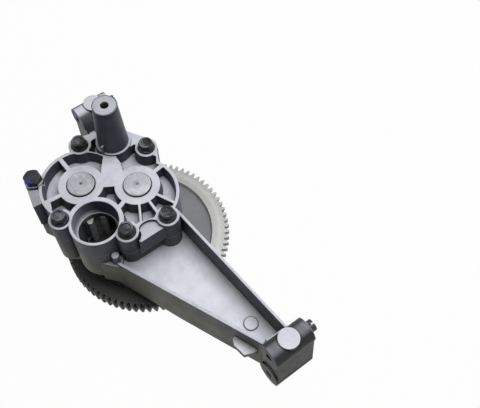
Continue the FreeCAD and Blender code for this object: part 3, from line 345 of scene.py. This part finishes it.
def make_cast_skin():
    """The fine grain of cast skin as a height, and slow patches as a mottle."""
    sockets = [("Grain", NUMBER, 0.001)]
    tree, given, result = group("Cast skin", sockets, [("Height", NUMBER), ("Mottle", NUMBER)])
    scale = calc(tree, "DIVIDE", 1.0, given["Grain"])
    pit_sockets = {"Vector": place_of(tree), "Scale": times(tree, scale, 0.5)}
    pits = put(tree, "ShaderNodeTexVoronoi", pit_sockets).outputs["Distance"]
    height = calc(tree, "MULTIPLY_ADD", pits, 0.4, noise(tree, scale, 3.0, 0.6))
    tree.links.new(height, result.inputs["Height"])
    tree.links.new(noise(tree, 45.0, 6.0, 0.65), result.inputs["Mottle"])


def make_upward():
    """How far a surface faces up on the piece, from steep wall to flat top."""
    sockets = [("Steep", NUMBER, 0.55), ("Flat", NUMBER, 0.97)]
    tree, given, result = group("Upward faces", sockets, [("Top", NUMBER)])
    rise = facing_of(tree)["Z"]
    tree.links.new(between(tree, rise, given["Steep"], given["Flat"]), result.inputs["Top"])


def make_turned_marks():
    """Fine rings round an axis, as a lathe leaves them, and the wider rings that shine more."""
    sockets = [("Place", VECTOR, (0, 0, 0)), ("Pitch", NUMBER, 0.0004)]
    tree, given, result = group("Turned marks", sockets, [("Height", NUMBER), ("Sheen", NUMBER)])
    count = calc(tree, "DIVIDE", size_of(tree, flat_of(tree, given["Place"])), given["Pitch"])
    for output, scale, detail in (("Height", 1.0, 2.0), ("Sheen", 0.12, 3.0)):
        values = {"W": count, "Scale": scale, "Detail": detail}
        ring = put(tree, "ShaderNodeTexNoise", values, noise_dimensions="1D")
        tree.links.new(ring.outputs[0], result.inputs[output])


def make_scratches():
    """Short thin scratches that run three ways."""
    tree, given, result = group("Scratches", [("Density", NUMBER, 0.5)], [("Mask", NUMBER)])
    mask = 0.0
    for turn in (0.3, 1.4, 2.5):
        values = {"Vector": place_of(tree), "Rotation": (0, 0, turn), "Scale": (60, 1400, 60)}
        turned = put(tree, "ShaderNodeMapping", values).outputs[0]
        lines = put(tree, "ShaderNodeTexNoise", {"Vector": turned, "Scale": 1.0, "Detail": 2.0})
        mask = calc(tree, "MAXIMUM", mask, between(tree, lines.outputs[0], 0.66, 0.72))
    tree.links.new(times(tree, mask, given["Density"], clamp=True), result.inputs["Mask"])


GROUP_MAKERS = (make_round_edge, make_shade_and_dirt, make_cast_skin, make_upward, make_turned_marks, make_scratches)


# ---------------------------------------------------------------------------
# Finishes


def new_material(name):
    """A material with only its shader and output: (material, tree, shader)."""
    material = bpy.data.materials.new(name)
    material.use_nodes = True
    tree = material.node_tree
    tree.nodes.clear()
    shader = tree.nodes.new("ShaderNodeBsdfPrincipled")
    result = tree.nodes.new("ShaderNodeOutputMaterial")
    tree.links.new(shader.outputs[0], result.inputs["Surface"])
    return material, tree, shader


def rgba(values):
    """A colour with full alpha."""
    return (values[0], values[1], values[2], 1.0)


def centred(tree, centre):
    """Object coordinates measured from a centre."""
    away = (-centre[0], -centre[1], -centre[2])
    return put(tree, "ShaderNodeMapping", {"Vector": place_of(tree), "Location": away}).outputs[0]


def far_from(tree, centre):
    """Distance of the surface from a centre."""
    return size_of(tree, centred(tree, centre))


def far_across(tree, centre):
    """Distance of the surface from the upright axis through a centre."""
    return size_of(tree, flat_of(tree, centred(tree, centre)))


def patchy(tree, skin, low, high):
    """A value that drifts between two levels with the slow patches of the skin."""
    return between(tree, skin["Mottle"], 0.3, 0.7, low, high)


def bump(tree, shader, height, normal, strength, depth):
    """Feeds the shader's normal with a bump on rounded edges."""
    sockets = {"Height": height, "Normal": normal, "Strength": strength, "Distance": depth}
    tree.links.new(put(tree, "ShaderNodeBump", sockets).outputs[0], shader.inputs["Normal"])


def pad_lines(tree, pads):
    """A mask of painted shade lines round the round pads; pads holds the centre and radius of each."""
    reach = bpy.context.scene.pump_sizes.pad_line
    mask = 0.0
    for centre, radius in pads:
        across = far_across(tree, centre)
        starts = between(tree, across, radius - 0.0004, radius + 0.0002)
        line = times(tree, starts, between(tree, across, radius + reach, radius + 0.0003))
        near = between(tree, far_from(tree, centre), radius + 0.006, radius + 0.004)
        mask = calc(tree, "MAXIMUM", mask, times(tree, line, near))
    return mask


def chips(tree, places):
    """A mask of small ragged chips."""
    grain = noise(tree, 900.0, 2.0)
    mask = 0.0
    for place in places:
        ragged = calc(tree, "MULTIPLY_ADD", grain, 0.002, far_from(tree, place))
        mask = calc(tree, "MAXIMUM", mask, between(tree, ragged, 0.0026, 0.0020))
    return mask


def wall_shade_colour(tree, where, own_wall_shade):
    """Colour of the steep walls, painted shade: their own low down, the cover's higher up, and dark at the
    arm's end.
    """
    sizes = bpy.context.scene.pump_sizes
    colours = bpy.context.scene.pump_colours
    risen = between(tree, where["Z"], sizes.blend_low, sizes.blend_high)
    walls = blend(tree, risen, rgba(own_wall_shade), rgba(colours.cast_wall_shade))
    # Painted shade: the walls darken towards the arm's end.
    at_end = between(tree, where["X"], sizes.end_start, sizes.end_full, 0.0, 0.8)
    return blend(tree, at_end, walls, rgba(colours.end_wall_shade))


def top_colour(tree, where, zones):
    """Colour of the faces that look up, zone by zone, with painted light and shade, and a mask of the zones
    flagged to have little dirt and painted shade.
    """
    sizes = bpy.context.scene.pump_sizes
    colours = bpy.context.scene.pump_colours
    tops = rgba(colours.cast_top_lit)
    clean_unshaded = 0.0
    for zone in zones:
        inside = zone.share
        for axis, low, high in zip("XYZ", zone.low, zone.high):
            inside = times(tree, inside, between(tree, where[axis], low, low + sizes.zone_fade))
            inside = times(tree, inside, between(tree, where[axis], high + sizes.zone_fade, high))
        tops = blend(tree, inside, tops, rgba(zone.tint))
        if zone.clean_unshaded:
            clean_unshaded = calc(tree, "MAXIMUM", clean_unshaded, inside)
    # Painted shade on the flagged zones towards the arm's root.
    near_root_shade = between(tree, where["X"], sizes.root_shade_end, sizes.root_shade_full, 0.0, 0.6)
    return blend(tree, times(tree, clean_unshaded, near_root_shade), tops, rgba(colours.arm_root_shade)), clean_unshaded


def turned_inlet(tree, where, top, centre):
    """The turned inlet: a mask of its wall; the wall's colour, painted light on the side that faces the key
    lamp and painted shade on the other, with a painted light band over its seat; and a mask of the painted
    shade below its seat.
    """
    sizes = bpy.context.scene.pump_sizes
    colours = bpy.context.scene.pump_colours
    reach = sizes.inlet_reach
    inside = between(tree, far_across(tree, centre), reach, reach - sizes.zone_fade)
    facing = facing_of(tree)
    # Painted light and shade by which way the inlet's wall faces.
    toward_light = calc(tree, "MULTIPLY_ADD", facing["X"], 0.5, facing["Y"])
    lit_side = between(tree, toward_light, -0.2, 1.25)
    bore = blend(tree, lit_side, rgba(colours.bore_shaded), rgba(colours.bore_lit))
    seat = centre[2]
    # Painted light: a pale band over the seat, widest on the lit side.
    band = between(tree, where["Z"], seat + sizes.seat_high, seat + sizes.seat_low)
    band = times(tree, band, between(tree, toward_light, -0.4, 0.7))
    bore = blend(tree, band, bore, rgba(colours.bore_seat_lit))
    # Painted shade below the inlet's seat.
    hole_shade = times(tree, between(tree, where["Z"], seat + 0.0001, seat - 0.0004), inside)
    return times(tree, inside, rest_of(tree, top)), bore, hole_shade


def casting(name, own_wall_shade, inlet_centre, steep, flat, zones, pads=(), chipped=()):
    """Cast aluminium: pale where it faces up and dark on steep walls, both painted light and shade; bright
    on edges from wear and painted highlight, and bright in the turned inlet.

    Steep and flat say how far a face must look up to count as a wall or a top. The pads get a dark line of
    painted shade round them, and chipped holds the centres of small chips.
    """
    sizes = bpy.context.scene.pump_sizes
    colours = bpy.context.scene.pump_colours
    material, tree, shader = new_material(name)
    edge = place_group(tree, "Round edge", Radius=sizes.cast_round)
    skin = place_group(tree, "Cast skin", Grain=sizes.grain)
    top = place_group(tree, "Upward faces", Steep=steep, Flat=flat)["Top"]
    # Painted shade and dirt in corners and hollows, from ambient occlusion.
    corners = place_group(tree, "Settled grime", Reach=0.0026, Amount=1.0)["Mask"]
    hollows = place_group(tree, "Settled grime", Reach=0.010, Amount=0.40)["Mask"]
    marks = place_group(tree, "Scratches", Density=0.25)["Mask"]

    where = split(tree, place_of(tree))
    tops, clean_unshaded = top_colour(tree, where, zones)
    # Painted light and shade: lighter on faces that look up, dark on steep walls.
    base = blend(tree, top, wall_shade_colour(tree, where, own_wall_shade), tops)
    patches = patchy(tree, skin, 0.86, 1.08)
    spread = put(tree, "ShaderNodeCombineXYZ", {"X": patches, "Y": patches, "Z": patches}).outputs[0]
    base = put(tree, "ShaderNodeVectorMath", {0: base, 1: spread}, operation="MULTIPLY").outputs[0]
    turned, bore, hole_shade = turned_inlet(tree, where, top, inlet_centre)
    base = blend(tree, turned, base, bore)
    # Worn edges and painted highlight along the casting's edges.
    base = blend(tree, times(tree, edge["Edge"], 0.55), base, rgba(colours.edge))
    base = blend(tree, times(tree, marks, top), base, rgba(colours.scratch))
    # Painted shade: dark lines round the round pads.
    base = blend(tree, times(tree, pad_lines(tree, pads), 0.75), base, rgba(colours.shade_and_dirt))
    base = blend(tree, chips(tree, chipped), base, rgba(colours.chip))
    # Painted shade below the inlet's seat.
    base = blend(tree, times(tree, hole_shade, 0.93), base, rgba(colours.bore_hole_shade))
    shade_and_dirt = calc(tree, "MAXIMUM", corners, hollows)
    # Less painted shade and dirt in the flagged zones.
    shade_and_dirt = times(tree, shade_and_dirt, calc(tree, "MULTIPLY_ADD", clean_unshaded, -0.6, 1.0))
    tree.links.new(blend(tree, shade_and_dirt, base, rgba(colours.shade_and_dirt)), shader.inputs["Base Color"])

    rough = calc(tree, "MULTIPLY_ADD", shade_and_dirt, 0.2, patchy(tree, skin, 0.40, 0.54))
    tree.links.new(rough, shader.inputs["Roughness"])
    bare = times(tree, turned, rest_of(tree, hole_shade))
    tree.links.new(times(tree, bare, 0.85), shader.inputs["Metallic"])
    shader.inputs["Specular IOR Level"].default_value = 0.16
    bump(tree, shader, skin["Height"], edge["Normal"], 0.35, 0.00025)
    return material


def black_steel(name, dab=None, dusty=1.0):
    """Phosphated steel with worn edges that carry painted glints, and tops lighter from settled dirt and
    painted highlight; dab is the centre of a paint mark.
    """
    sizes = bpy.context.scene.pump_sizes
    colours = bpy.context.scene.pump_colours
    material, tree, shader = new_material(name)
    edge = place_group(tree, "Round edge", Radius=sizes.steel_round)
    skin = place_group(tree, "Cast skin", Grain=0.0006)
    top = place_group(tree, "Upward faces", Steep=0.75, Flat=0.95)["Top"]
    # Settled dirt and painted highlight on the tops.
    dust_highlight = times(tree, top, between(tree, skin["Mottle"], 0.46, 0.60, 0.0, dusty))
    base = blend(tree, dust_highlight, rgba(colours.black), rgba(colours.dust_highlight))
    # Wear and painted glints along the edges.
    rubbed_glint = times(tree, edge["Edge"], between(tree, skin["Mottle"], 0.42, 0.56, 0.15, 0.95))
    base = blend(tree, rubbed_glint, base, rgba(colours.rubbed_glint))
    if dab:
        ragged = calc(tree, "MULTIPLY_ADD", skin["Mottle"], 0.008, far_from(tree, dab))
        painted = between(tree, ragged, sizes.dab_reach + 0.0012, sizes.dab_reach)
        base = blend(tree, painted, base, rgba(colours.paint))
    tree.links.new(base, shader.inputs["Base Color"])
    tree.links.new(patchy(tree, skin, 0.26, 0.50), shader.inputs["Roughness"])
    shader.inputs["Metallic"].default_value = 0.1
    shader.inputs["Specular IOR Level"].default_value = 0.22
    bump(tree, shader, skin["Height"], edge["Normal"], 0.25, 0.0001)
    return material


def turned_steel(name, tint, centre, dull=0.0, eye_reach=0.0042, eye_share=0.75):
    """Ground or turned steel: rings round its axis, stains, fine scratches and a dirty eye in its middle."""
    sizes = bpy.context.scene.pump_sizes
    colours = bpy.context.scene.pump_colours
    material, tree, shader = new_material(name)
    edge = place_group(tree, "Round edge", Radius=sizes.steel_round)
    skin = place_group(tree, "Cast skin", Grain=0.0025)
    rings = place_group(tree, "Turned marks", Place=centred(tree, centre))
    marks = place_group(tree, "Scratches", Density=0.5)["Mask"]
    # Painted shade and dirt in hollows, from ambient occlusion.
    shade_and_dirt = place_group(tree, "Settled grime", Reach=0.004, Amount=0.8)["Mask"]
    darker = (tint[0] * 0.66, tint[1] * 0.66, tint[2] * 0.68, 1.0)
    stain = calc(tree, "ADD", between(tree, skin["Mottle"], 0.42, 0.62, 0.0, 0.9), dull, clamp=True)
    base = blend(tree, stain, rgba(tint), darker)
    eye = between(tree, far_across(tree, centre), eye_reach, eye_reach * 0.3, 0.0, eye_share)
    smudge = times(tree, eye, between(tree, skin["Mottle"], 0.35, 0.6))
    base = blend(tree, smudge, base, rgba(colours.steel_eye))
    base = blend(tree, between(tree, rings["Sheen"], 0.4, 0.65, 0.0, 0.35), base, darker)
    base = blend(tree, marks, base, rgba(colours.steel_mark))
    tree.links.new(blend(tree, shade_and_dirt, base, rgba(colours.steel_shade_and_dirt)), shader.inputs["Base Color"])
    tree.links.new(patchy(tree, skin, 0.30, 0.46), shader.inputs["Roughness"])
    shader.inputs["Metallic"].default_value = 0.75
    bump(tree, shader, rings["Height"], edge["Normal"], 0.12, 0.00008)
    return material


def gear_iron(name):
    """The gear: machined rim and teeth, rough cast web, painted shade in the tooth gaps, a painted shadow
    over the half away from the block, and a patch of light rust.
    """
    sizes = bpy.context.scene.pump_sizes
    colours = bpy.context.scene.pump_colours
    material, tree, shader = new_material(name)
    edge = place_group(tree, "Round edge", Radius=sizes.steel_round)
    skin = place_group(tree, "Cast skin", Grain=0.0014)
    rings = place_group(tree, "Turned marks", Place=centred(tree, (0, 0, 0)), Pitch=0.0007)
    marks = place_group(tree, "Scratches", Density=0.55)["Mask"]
    # Painted shade and dirt in hollows, from ambient occlusion.
    shade_and_dirt = place_group(tree, "Settled grime", Reach=0.006, Amount=0.9)["Mask"]
    top = place_group(tree, "Upward faces", Steep=0.5, Flat=0.9)["Top"]
    where = split(tree, place_of(tree))
    across = far_across(tree, (0, 0, 0))
    rim = between(tree, across, sizes.rim_radius - 0.0004, sizes.rim_radius + 0.0004)

    patches = between(tree, skin["Mottle"], 0.35, 0.65)
    web = blend(tree, patches, rgba(colours.gear_web), rgba(colours.gear_patch))
    sheen = between(tree, rings["Sheen"], 0.35, 0.65, 0.0, 0.5)
    bright = blend(tree, sheen, rgba(colours.gear_rim), rgba(colours.gear_sheen))
    base = blend(tree, rim, web, blend(tree, marks, bright, rgba(colours.gear_mark)))
    teeth = between(tree, across, sizes.root_radius - 0.0010, sizes.root_radius)
    # Painted shade in the gaps between the teeth.
    flanks = times(tree, teeth, rest_of(tree, top))
    base = blend(tree, times(tree, flanks, 0.9), base, rgba(colours.gear_flank_shade))
    base = blend(tree, times(tree, edge["Edge"], 0.35), base, rgba(colours.gear_edge))

    rough = noise(tree, 260.0, 5.0, 0.7)
    near_patch = between(tree, far_from(tree, (0.035, -0.086, 0.0)), sizes.rust_reach, 0.006)
    near_patch = times(tree, near_patch, between(tree, where["Z"], 0.007, 0.003))
    rust = times(tree, near_patch, between(tree, rough, 0.42, 0.62), clamp=True)
    base = blend(tree, rust, base, rgba(colours.rust))
    # Painted shadow over the gear's half that lies away from the block, with a ragged line.
    uneven = calc(tree, "MULTIPLY_ADD", rough, 0.02, where["Y"])
    base = blend(tree, between(tree, uneven, -0.010, -0.045, 0.0, 0.80), base, rgba(colours.gear_shadow))
    tree.links.new(blend(tree, shade_and_dirt, base, rgba(colours.gear_shade_and_dirt)), shader.inputs["Base Color"])

    smooth = between(tree, rim, 0.0, 1.0, 0.62, 0.36)
    tree.links.new(calc(tree, "MULTIPLY_ADD", rust, 0.3, smooth), shader.inputs["Roughness"])
    tree.links.new(between(tree, rim, 0.0, 1.0, 0.1, 0.4), shader.inputs["Metallic"])
    web_grain = times(tree, skin["Height"], between(tree, rim, 0.0, 1.0, 1.0, 0.12))
    height = calc(tree, "MULTIPLY_ADD", rings["Height"], 0.1, web_grain)
    bump(tree, shader, height, edge["Normal"], 0.4, 0.0003)
    return material


def oiled_metal(name, tint, roughness, dirt=0.85, metal=0.85):
    """Plain machined metal under an oil film, for the rotors, bushes, spring and sleeves."""
    sizes = bpy.context.scene.pump_sizes
    colours = bpy.context.scene.pump_colours
    material, tree, shader = new_material(name)
    edge = place_group(tree, "Round edge", Radius=sizes.steel_round)
    skin = place_group(tree, "Cast skin", Grain=0.0015)
    # Painted shade and dirt in hollows, from ambient occlusion; the dirt amount sets its strength.
    shade_and_dirt = place_group(tree, "Settled grime", Reach=0.010, Amount=dirt)["Mask"]
    darker = (tint[0] * 0.55, tint[1] * 0.55, tint[2] * 0.55, 1.0)
    base = blend(tree, between(tree, skin["Mottle"], 0.35, 0.7), rgba(tint), darker)
    base = blend(tree, times(tree, edge["Edge"], 0.7), base, rgba(colours.oiled_edge))
    tree.links.new(blend(tree, shade_and_dirt, base, rgba(colours.oiled_shade_and_dirt)), shader.inputs["Base Color"])
    tree.links.new(patchy(tree, skin, roughness, roughness + 0.15), shader.inputs["Roughness"])
    shader.inputs["Metallic"].default_value = metal
    bump(tree, shader, skin["Height"], edge["Normal"], 0.1, 0.0001)
    return material


def finish_node(name, material):
    """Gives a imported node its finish."""
    piece = frame["nodes"][name]
    if not piece.material_slots:
        raise RuntimeError("%s has no material slot" % name)
    for slot in piece.material_slots:
        slot.link = "OBJECT"
        slot.material = material


def middle_of(name):
    """Centre of a node's box at rest."""
    low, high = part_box(name)
    return tuple((a + b) / 2 for a, b in zip(low, high))


# ---------------------------------------------------------------------------
# New pieces


def make_piece(name, points, faces, material, body):
    """A mesh piece that rides on a body and takes its finish from a slot."""
    mesh = bpy.data.meshes.new(name)
    mesh.from_pydata(points.tolist(), [], faces.tolist())
    mesh.update()
    piece = bpy.data.objects.new(name, mesh)
    bpy.context.scene.collection.objects.link(piece)
    piece.data.materials.append(material)
    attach(piece, body)
    return piece


def tube_faces(rows, columns):
    """Quads of a grid of rows by columns, with the last column joined to the first."""
    row, column = np.meshgrid(np.arange(rows - 1), np.arange(columns), indexing="ij")
    after = (column + 1) % columns
    start, end = row * columns, (row + 1) * columns
    corners = (start + column, start + after, end + after, end + column)
    return np.stack([corner.ravel() for corner in corners], axis=1)


def thread_surface(centre, top, outer, depth, pitch, turns, around=48, steps=8):
    """A closed threaded liner.

    At angle a and height z the inner radius is outer - depth * ridge, where ridge is a triangle wave
    of z / pitch - a / full turn that fades out in the top turn; the outer wall is a plain cylinder,
    and two rings of faces close the ends.
    """
    rows = turns * steps + 1
    angle = np.linspace(0, 2 * np.pi, around, endpoint=False)[None, :]
    height = np.linspace(top - turns * pitch, top, rows)[:, None]
    phase = (height / pitch - angle / (2 * np.pi)) % 1.0
    ridge = 1 - np.abs(2 * phase - 1)
    fade = np.clip((top - height) / pitch, 0, 1)
    inner = outer - depth * (0.08 + 0.92 * ridge * fade)
    plain = np.full_like(inner, outer)
    level = np.broadcast_to(height, inner.shape)
    rings = np.concatenate([inner, plain[::-1]])
    levels = np.concatenate([level, level[::-1]])
    x = centre[0] + rings * np.cos(angle)
    y = centre[1] + rings * np.sin(angle)
    points = np.stack([x, y, levels], axis=2).reshape(-1, 3)
    faces = tube_faces(len(rings), around)
    first = np.arange(around)
    last = (len(rings) - 1) * around + first
    turn = (first + 1) % around
    closing = np.stack([last, last[turn], first[turn], first], axis=1)
    return points, np.concatenate([faces, closing])


# ---------------------------------------------------------------------------
# Operators


class PUMP_OT_groups(bpy.types.Operator):
    """Build the shared node groups"""

    bl_idname = "pump.groups"
    bl_label = "Finish effects"

    def execute(self, context):
        for maker in GROUP_MAKERS:
            maker()
        return {"FINISHED"}


class PUMP_OT_castings(bpy.types.Operator):
    """Finish the housing and the cover"""

    bl_idname = "pump.castings"
    bl_label = "Castings"

    def execute(self, context):
        colours = context.scene.pump_colours
        inlet = MOUNTS["inlet_port"]["pos_m"]
        boss = MOUNTS["tall_boss_thread"]["pos_m"]
        pad_radius = 0.0116
        end_pad = (middle_of("arm_dowel_sleeve")[0], 0.024, 0.1226)
        body_pad = (middle_of("body_dowel_sleeve")[0], 0.021, 0.1236)
        arm_spot = (0.192, 0.014, 0.0782)
        spot_radius = 0.0074
        pads = ((end_pad, pad_radius), (body_pad, pad_radius), (arm_spot, spot_radius))
        chipped = ((0.027, -0.083, 0.060), (0.032, -0.081, 0.060), (0.036, -0.074, 0.060))
        zones = (
            # Painted light on the arm's floor, with its painted shade and dirt cleared.
            Zone((0.045, -0.070, 0.0760), (0.235, 0.040, 0.0800), colours.arm_floor_lit, 1.0, True),
            # Painted light on the side pad.
            Zone((0.188, -0.020, 0.0785), (0.222, 0.0, 0.0795), colours.side_pad_lit, 1.0, True),
            Zone((-0.072, -0.112, 0.1200), (-0.034, -0.080, 0.1275), colours.gallery_pad, 0.9, False),
            # Painted shade on the top of the barrel at the arm's end.
            Zone((0.226, -0.010, 0.1000), (0.260, 0.060, 0.1221), colours.end_barrel_shade, 0.85, False),
            Zone((0.226, 0.010, 0.1224), (0.252, 0.038, 0.1232), colours.end_pad, 1.0, True),
        )
        housing = casting("Cast housing", colours.olive_wall_shade, inlet, 0.80, 0.995, zones, pads, chipped)
        finish_node("housing", housing)
        reach = (0.02, 0.02, 0.001)
        low = tuple(at - away for at, away in zip(boss, reach))
        high = tuple(at + away for at, away in zip(boss, reach))
        boss_zone = Zone(low, high, colours.boss_top, 0.85, False)
        boss_radius = 0.0128
        cover = casting(
            "Cast cover", colours.cast_wall_shade, inlet, 0.55, 0.97, (boss_zone,), ((boss, boss_radius),)
        )
        finish_node("cover", cover)
        return {"FINISHED"}


class PUMP_OT_fasteners(bpy.types.Operator):
    """Finish the cover bolts, the relief plug and the sleeves"""

    bl_idname = "pump.fasteners"
    bl_label = "Fasteners"

    def execute(self, context):
        colours = context.scene.pump_colours
        finish_node("cover_bolts", black_steel("Black bolts"))
        low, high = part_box("relief_plug")
        dab = (middle_of("relief_plug")[0] + 0.0035, low[1] - 0.0010, high[2] - 0.007)
        finish_node("relief_plug", black_steel("Black plug", dab, 0.10))
        sleeve = oiled_metal("Sleeve steel", colours.sleeve, 0.32)
        for name in ("arm_dowel_sleeve", "body_dowel_sleeve", "relief_spring"):
            finish_node(name, sleeve)
        finish_node("relief_plug_washer", oiled_metal("Washer metal", colours.washer, 0.4))
        return {"FINISHED"}


class PUMP_OT_turning_parts(bpy.types.Operator):
    """Finish the gear, shafts, rotors and bushes"""

    bl_idname = "pump.turning_parts"
    bl_label = "Gear, shafts and rotors"

    def execute(self, context):
        colours = context.scene.pump_colours
        finish_node("drive_gear", gear_iron("Gear iron"))
        drive_middle = middle_of("drive_shaft")
        drive = turned_steel("Drive shaft steel", colours.steel, drive_middle, 0.0, 0.0060, 0.55)
        finish_node("drive_shaft", drive)
        dim_steel = [value * 0.92 for value in colours.steel]
        idler_middle = middle_of("idler_shaft")
        idler = turned_steel("Idler shaft steel", dim_steel, idler_middle, 0.35, 0.0034, 1.0)
        finish_node("idler_shaft", idler)
        piston = turned_steel("Piston steel", colours.steel, middle_of("relief_piston"))
        finish_node("relief_piston", piston)
        finish_node("cover_dowels", oiled_metal("Dowel steel", colours.dowel, 0.3))
        rotor = oiled_metal("Rotor steel", colours.rotor, 0.22, 0.15, 0.3)
        for name in ("drive_rotor", "idler_rotor", "relief_spring_seat"):
            finish_node(name, rotor)
        bronze = oiled_metal("Bush bronze", colours.bronze, 0.3)
        for name in ("housing_drive_bush", "housing_idler_bush", "cover_drive_bush", "cover_idler_bush"):
            finish_node(name, bronze)
        return {"FINISHED"}


class PUMP_OT_thread(bpy.types.Operator):
    """Cut the thread in the tall boss"""

    bl_idname = "pump.thread"
    bl_label = "Tall boss thread"

    def execute(self, context):
        sizes = context.scene.pump_sizes
        hole = MOUNTS["tall_boss_thread"]
        top = hole["pos_m"][2] - sizes.thread_inset
        radius = hole["dims"]["r_mm"] / 1000 - sizes.thread_gap
        points, faces = thread_surface(
            hole["pos_m"], top, radius, sizes.thread_depth, sizes.thread_pitch, sizes.thread_turns
        )
        dark = oiled_metal("Thread metal", context.scene.pump_colours.thread, 0.4, 1.0)
        make_piece("tall_thread", points, faces, dark, "root")
        return {"FINISHED"}


class PUMP_OT_stage(bpy.types.Operator):
    """Set up the floor, light and camera"""

    bl_idname = "pump.stage"
    bl_label = "Stage"

    def execute(self, context):
        settings = context.scene.pump_stage
        half = settings.floor_size / 2
        corners = [(-half, -half, 0), (half, -half, 0), (half, half, 0), (-half, half, 0)]
        mesh = bpy.data.meshes.new("floor")
        mesh.from_pydata(corners, [], [(0, 1, 2, 3)])
        floor = bpy.data.objects.new("floor", mesh)
        context.scene.collection.objects.link(floor)
        floor.data.materials.append(floor_material(settings.floor_grey, settings.floor_white))
        make_world(settings.sky)
        middle = (0.05, 0.0, 0.08)
        add_lamp("key_lamp", (0.12, 0.38, 1.30), middle, settings.lamp_size, settings.key)
        add_lamp("fill_lamp", (-0.9, -0.3, 1.0), middle, settings.lamp_size, settings.fill)
        add_lamp("back_lamp", (-0.45, 1.15, 0.42), (0.05, 0.0, 0.07), settings.lamp_size, settings.back)
        add_camera(settings.lens)
        context.scene.view_settings.view_transform = "Standard"
        return {"FINISHED"}


def seen_plainly(tree):
    """One for camera, glossy and transmission rays, nought for all others."""
    paths = tree.nodes.new("ShaderNodeLightPath").outputs
    seen = calc(tree, "MAXIMUM", paths["Is Camera Ray"], paths["Is Glossy Ray"])
    return calc(tree, "MAXIMUM", seen, paths["Is Transmission Ray"])


def floor_material(grey, white):
    """A floor that keeps a soft shadow: mostly plain white where it is seen, matt to all other light."""
    material = bpy.data.materials.new("Pale floor")
    material.use_nodes = True
    tree = material.node_tree
    tree.nodes.clear()
    matt = put(tree, "ShaderNodeBsdfDiffuse", {"Color": (grey, grey, grey, 1.0)}).outputs[0]
    plain = put(tree, "ShaderNodeEmission", {"Color": (1.0, 1.0, 1.0, 1.0), "Strength": 1.0}).outputs[0]
    share = times(tree, seen_plainly(tree), white)
    mixed = put(tree, "ShaderNodeMixShader", {0: share, 1: matt, 2: plain}).outputs[0]
    result = tree.nodes.new("ShaderNodeOutputMaterial")
    tree.links.new(mixed, result.inputs["Surface"])
    return material


def make_world(strength):
    """Even light from all round; camera, glossy and transmission rays see plain white."""
    world = bpy.data.worlds.new("Studio")
    bpy.context.scene.world = world
    world.use_nodes = True
    tree = world.node_tree
    tree.nodes.clear()
    level = between(tree, seen_plainly(tree), 0.0, 1.0, strength, 1.0)
    light = put(tree, "ShaderNodeBackground", {"Color": (1.0, 1.0, 1.0, 1.0), "Strength": level})
    result = tree.nodes.new("ShaderNodeOutputWorld")
    tree.links.new(light.outputs[0], result.inputs["Surface"])


def add_lamp(name, place, target, size, watts):
    """A square area lamp that points at a target."""
    lamp = bpy.data.lights.new(name, "AREA")
    lamp.size = size
    lamp.energy = watts
    holder = bpy.data.objects.new(name, lamp)
    bpy.context.scene.collection.objects.link(holder)
    turn = (Vector(target) - Vector(place)).to_track_quat("-Z", "Y").to_matrix().to_4x4()
    holder.matrix_world = Matrix.Translation(place) @ turn


def add_camera(lens):
    """The camera at the place and angle of the photograph."""
    camera = bpy.data.cameras.new("camera")
    camera.lens = lens
    camera.sensor_width = 36.0
    camera.sensor_fit = "HORIZONTAL"
    camera.clip_start = 0.01
    holder = bpy.data.objects.new("camera", camera)
    bpy.context.scene.collection.objects.link(holder)
    right = (0.60301361, 0.79769991, 0.00703103)
    up = (-0.69356616, 0.51989937, 0.49866885)
    back = (0.39413267, -0.30558058, 0.86676406)
    place = (0.395892, -0.161271, 0.801867)
    rows = [[right[i], up[i], back[i], place[i]] for i in range(3)] + [[0, 0, 0, 1]]
    holder.matrix_world = Matrix(rows)
    bpy.context.scene.camera = holder


class PUMP_PT_panel(bpy.types.Panel):
    """The pump's pieces, sizes and colours"""

    bl_label = "Oil pump"
    bl_idname = "PUMP_PT_panel"
    bl_space_type = "VIEW_3D"
    bl_region_type = "UI"
    bl_category = "Oil pump"

    def draw(self, context):
        layout = self.layout
        for settings in (context.scene.pump_sizes, context.scene.pump_colours, context.scene.pump_stage):
            box = layout.box()
            for word in settings.__annotations__:
                box.prop(settings, word)
        for operator in OPERATORS:
            layout.operator(operator.bl_idname)


OPERATORS = (
    PUMP_OT_groups, PUMP_OT_castings, PUMP_OT_fasteners, PUMP_OT_turning_parts, PUMP_OT_thread,
    PUMP_OT_stage,
)
SETTINGS = (("pump_sizes", PumpSizes), ("pump_colours", PumpColours), ("pump_stage", StageSettings))


def register():
    """Registers the classes and adds the settings to the scene."""
    for word, kind in SETTINGS:
        bpy.utils.register_class(kind)
        setattr(bpy.types.Scene, word, PointerProperty(type=kind))
    for kind in OPERATORS + (PUMP_PT_panel,):
        bpy.utils.register_class(kind)


def unregister():
    """Takes away what register added."""
    for kind in (PUMP_PT_panel,) + OPERATORS[::-1]:
        bpy.utils.unregister_class(kind)
    for word, kind in SETTINGS[::-1]:
        delattr(bpy.types.Scene, word)
        bpy.utils.unregister_class(kind)


def main():
    """Builds every piece in order."""
    register()
    bpy.ops.pump.groups()
    bpy.ops.pump.castings()
    bpy.ops.pump.fasteners()
    bpy.ops.pump.turning_parts()
    bpy.ops.pump.thread()
    bpy.ops.pump.stage()


if __name__ == "__main__":
    main()
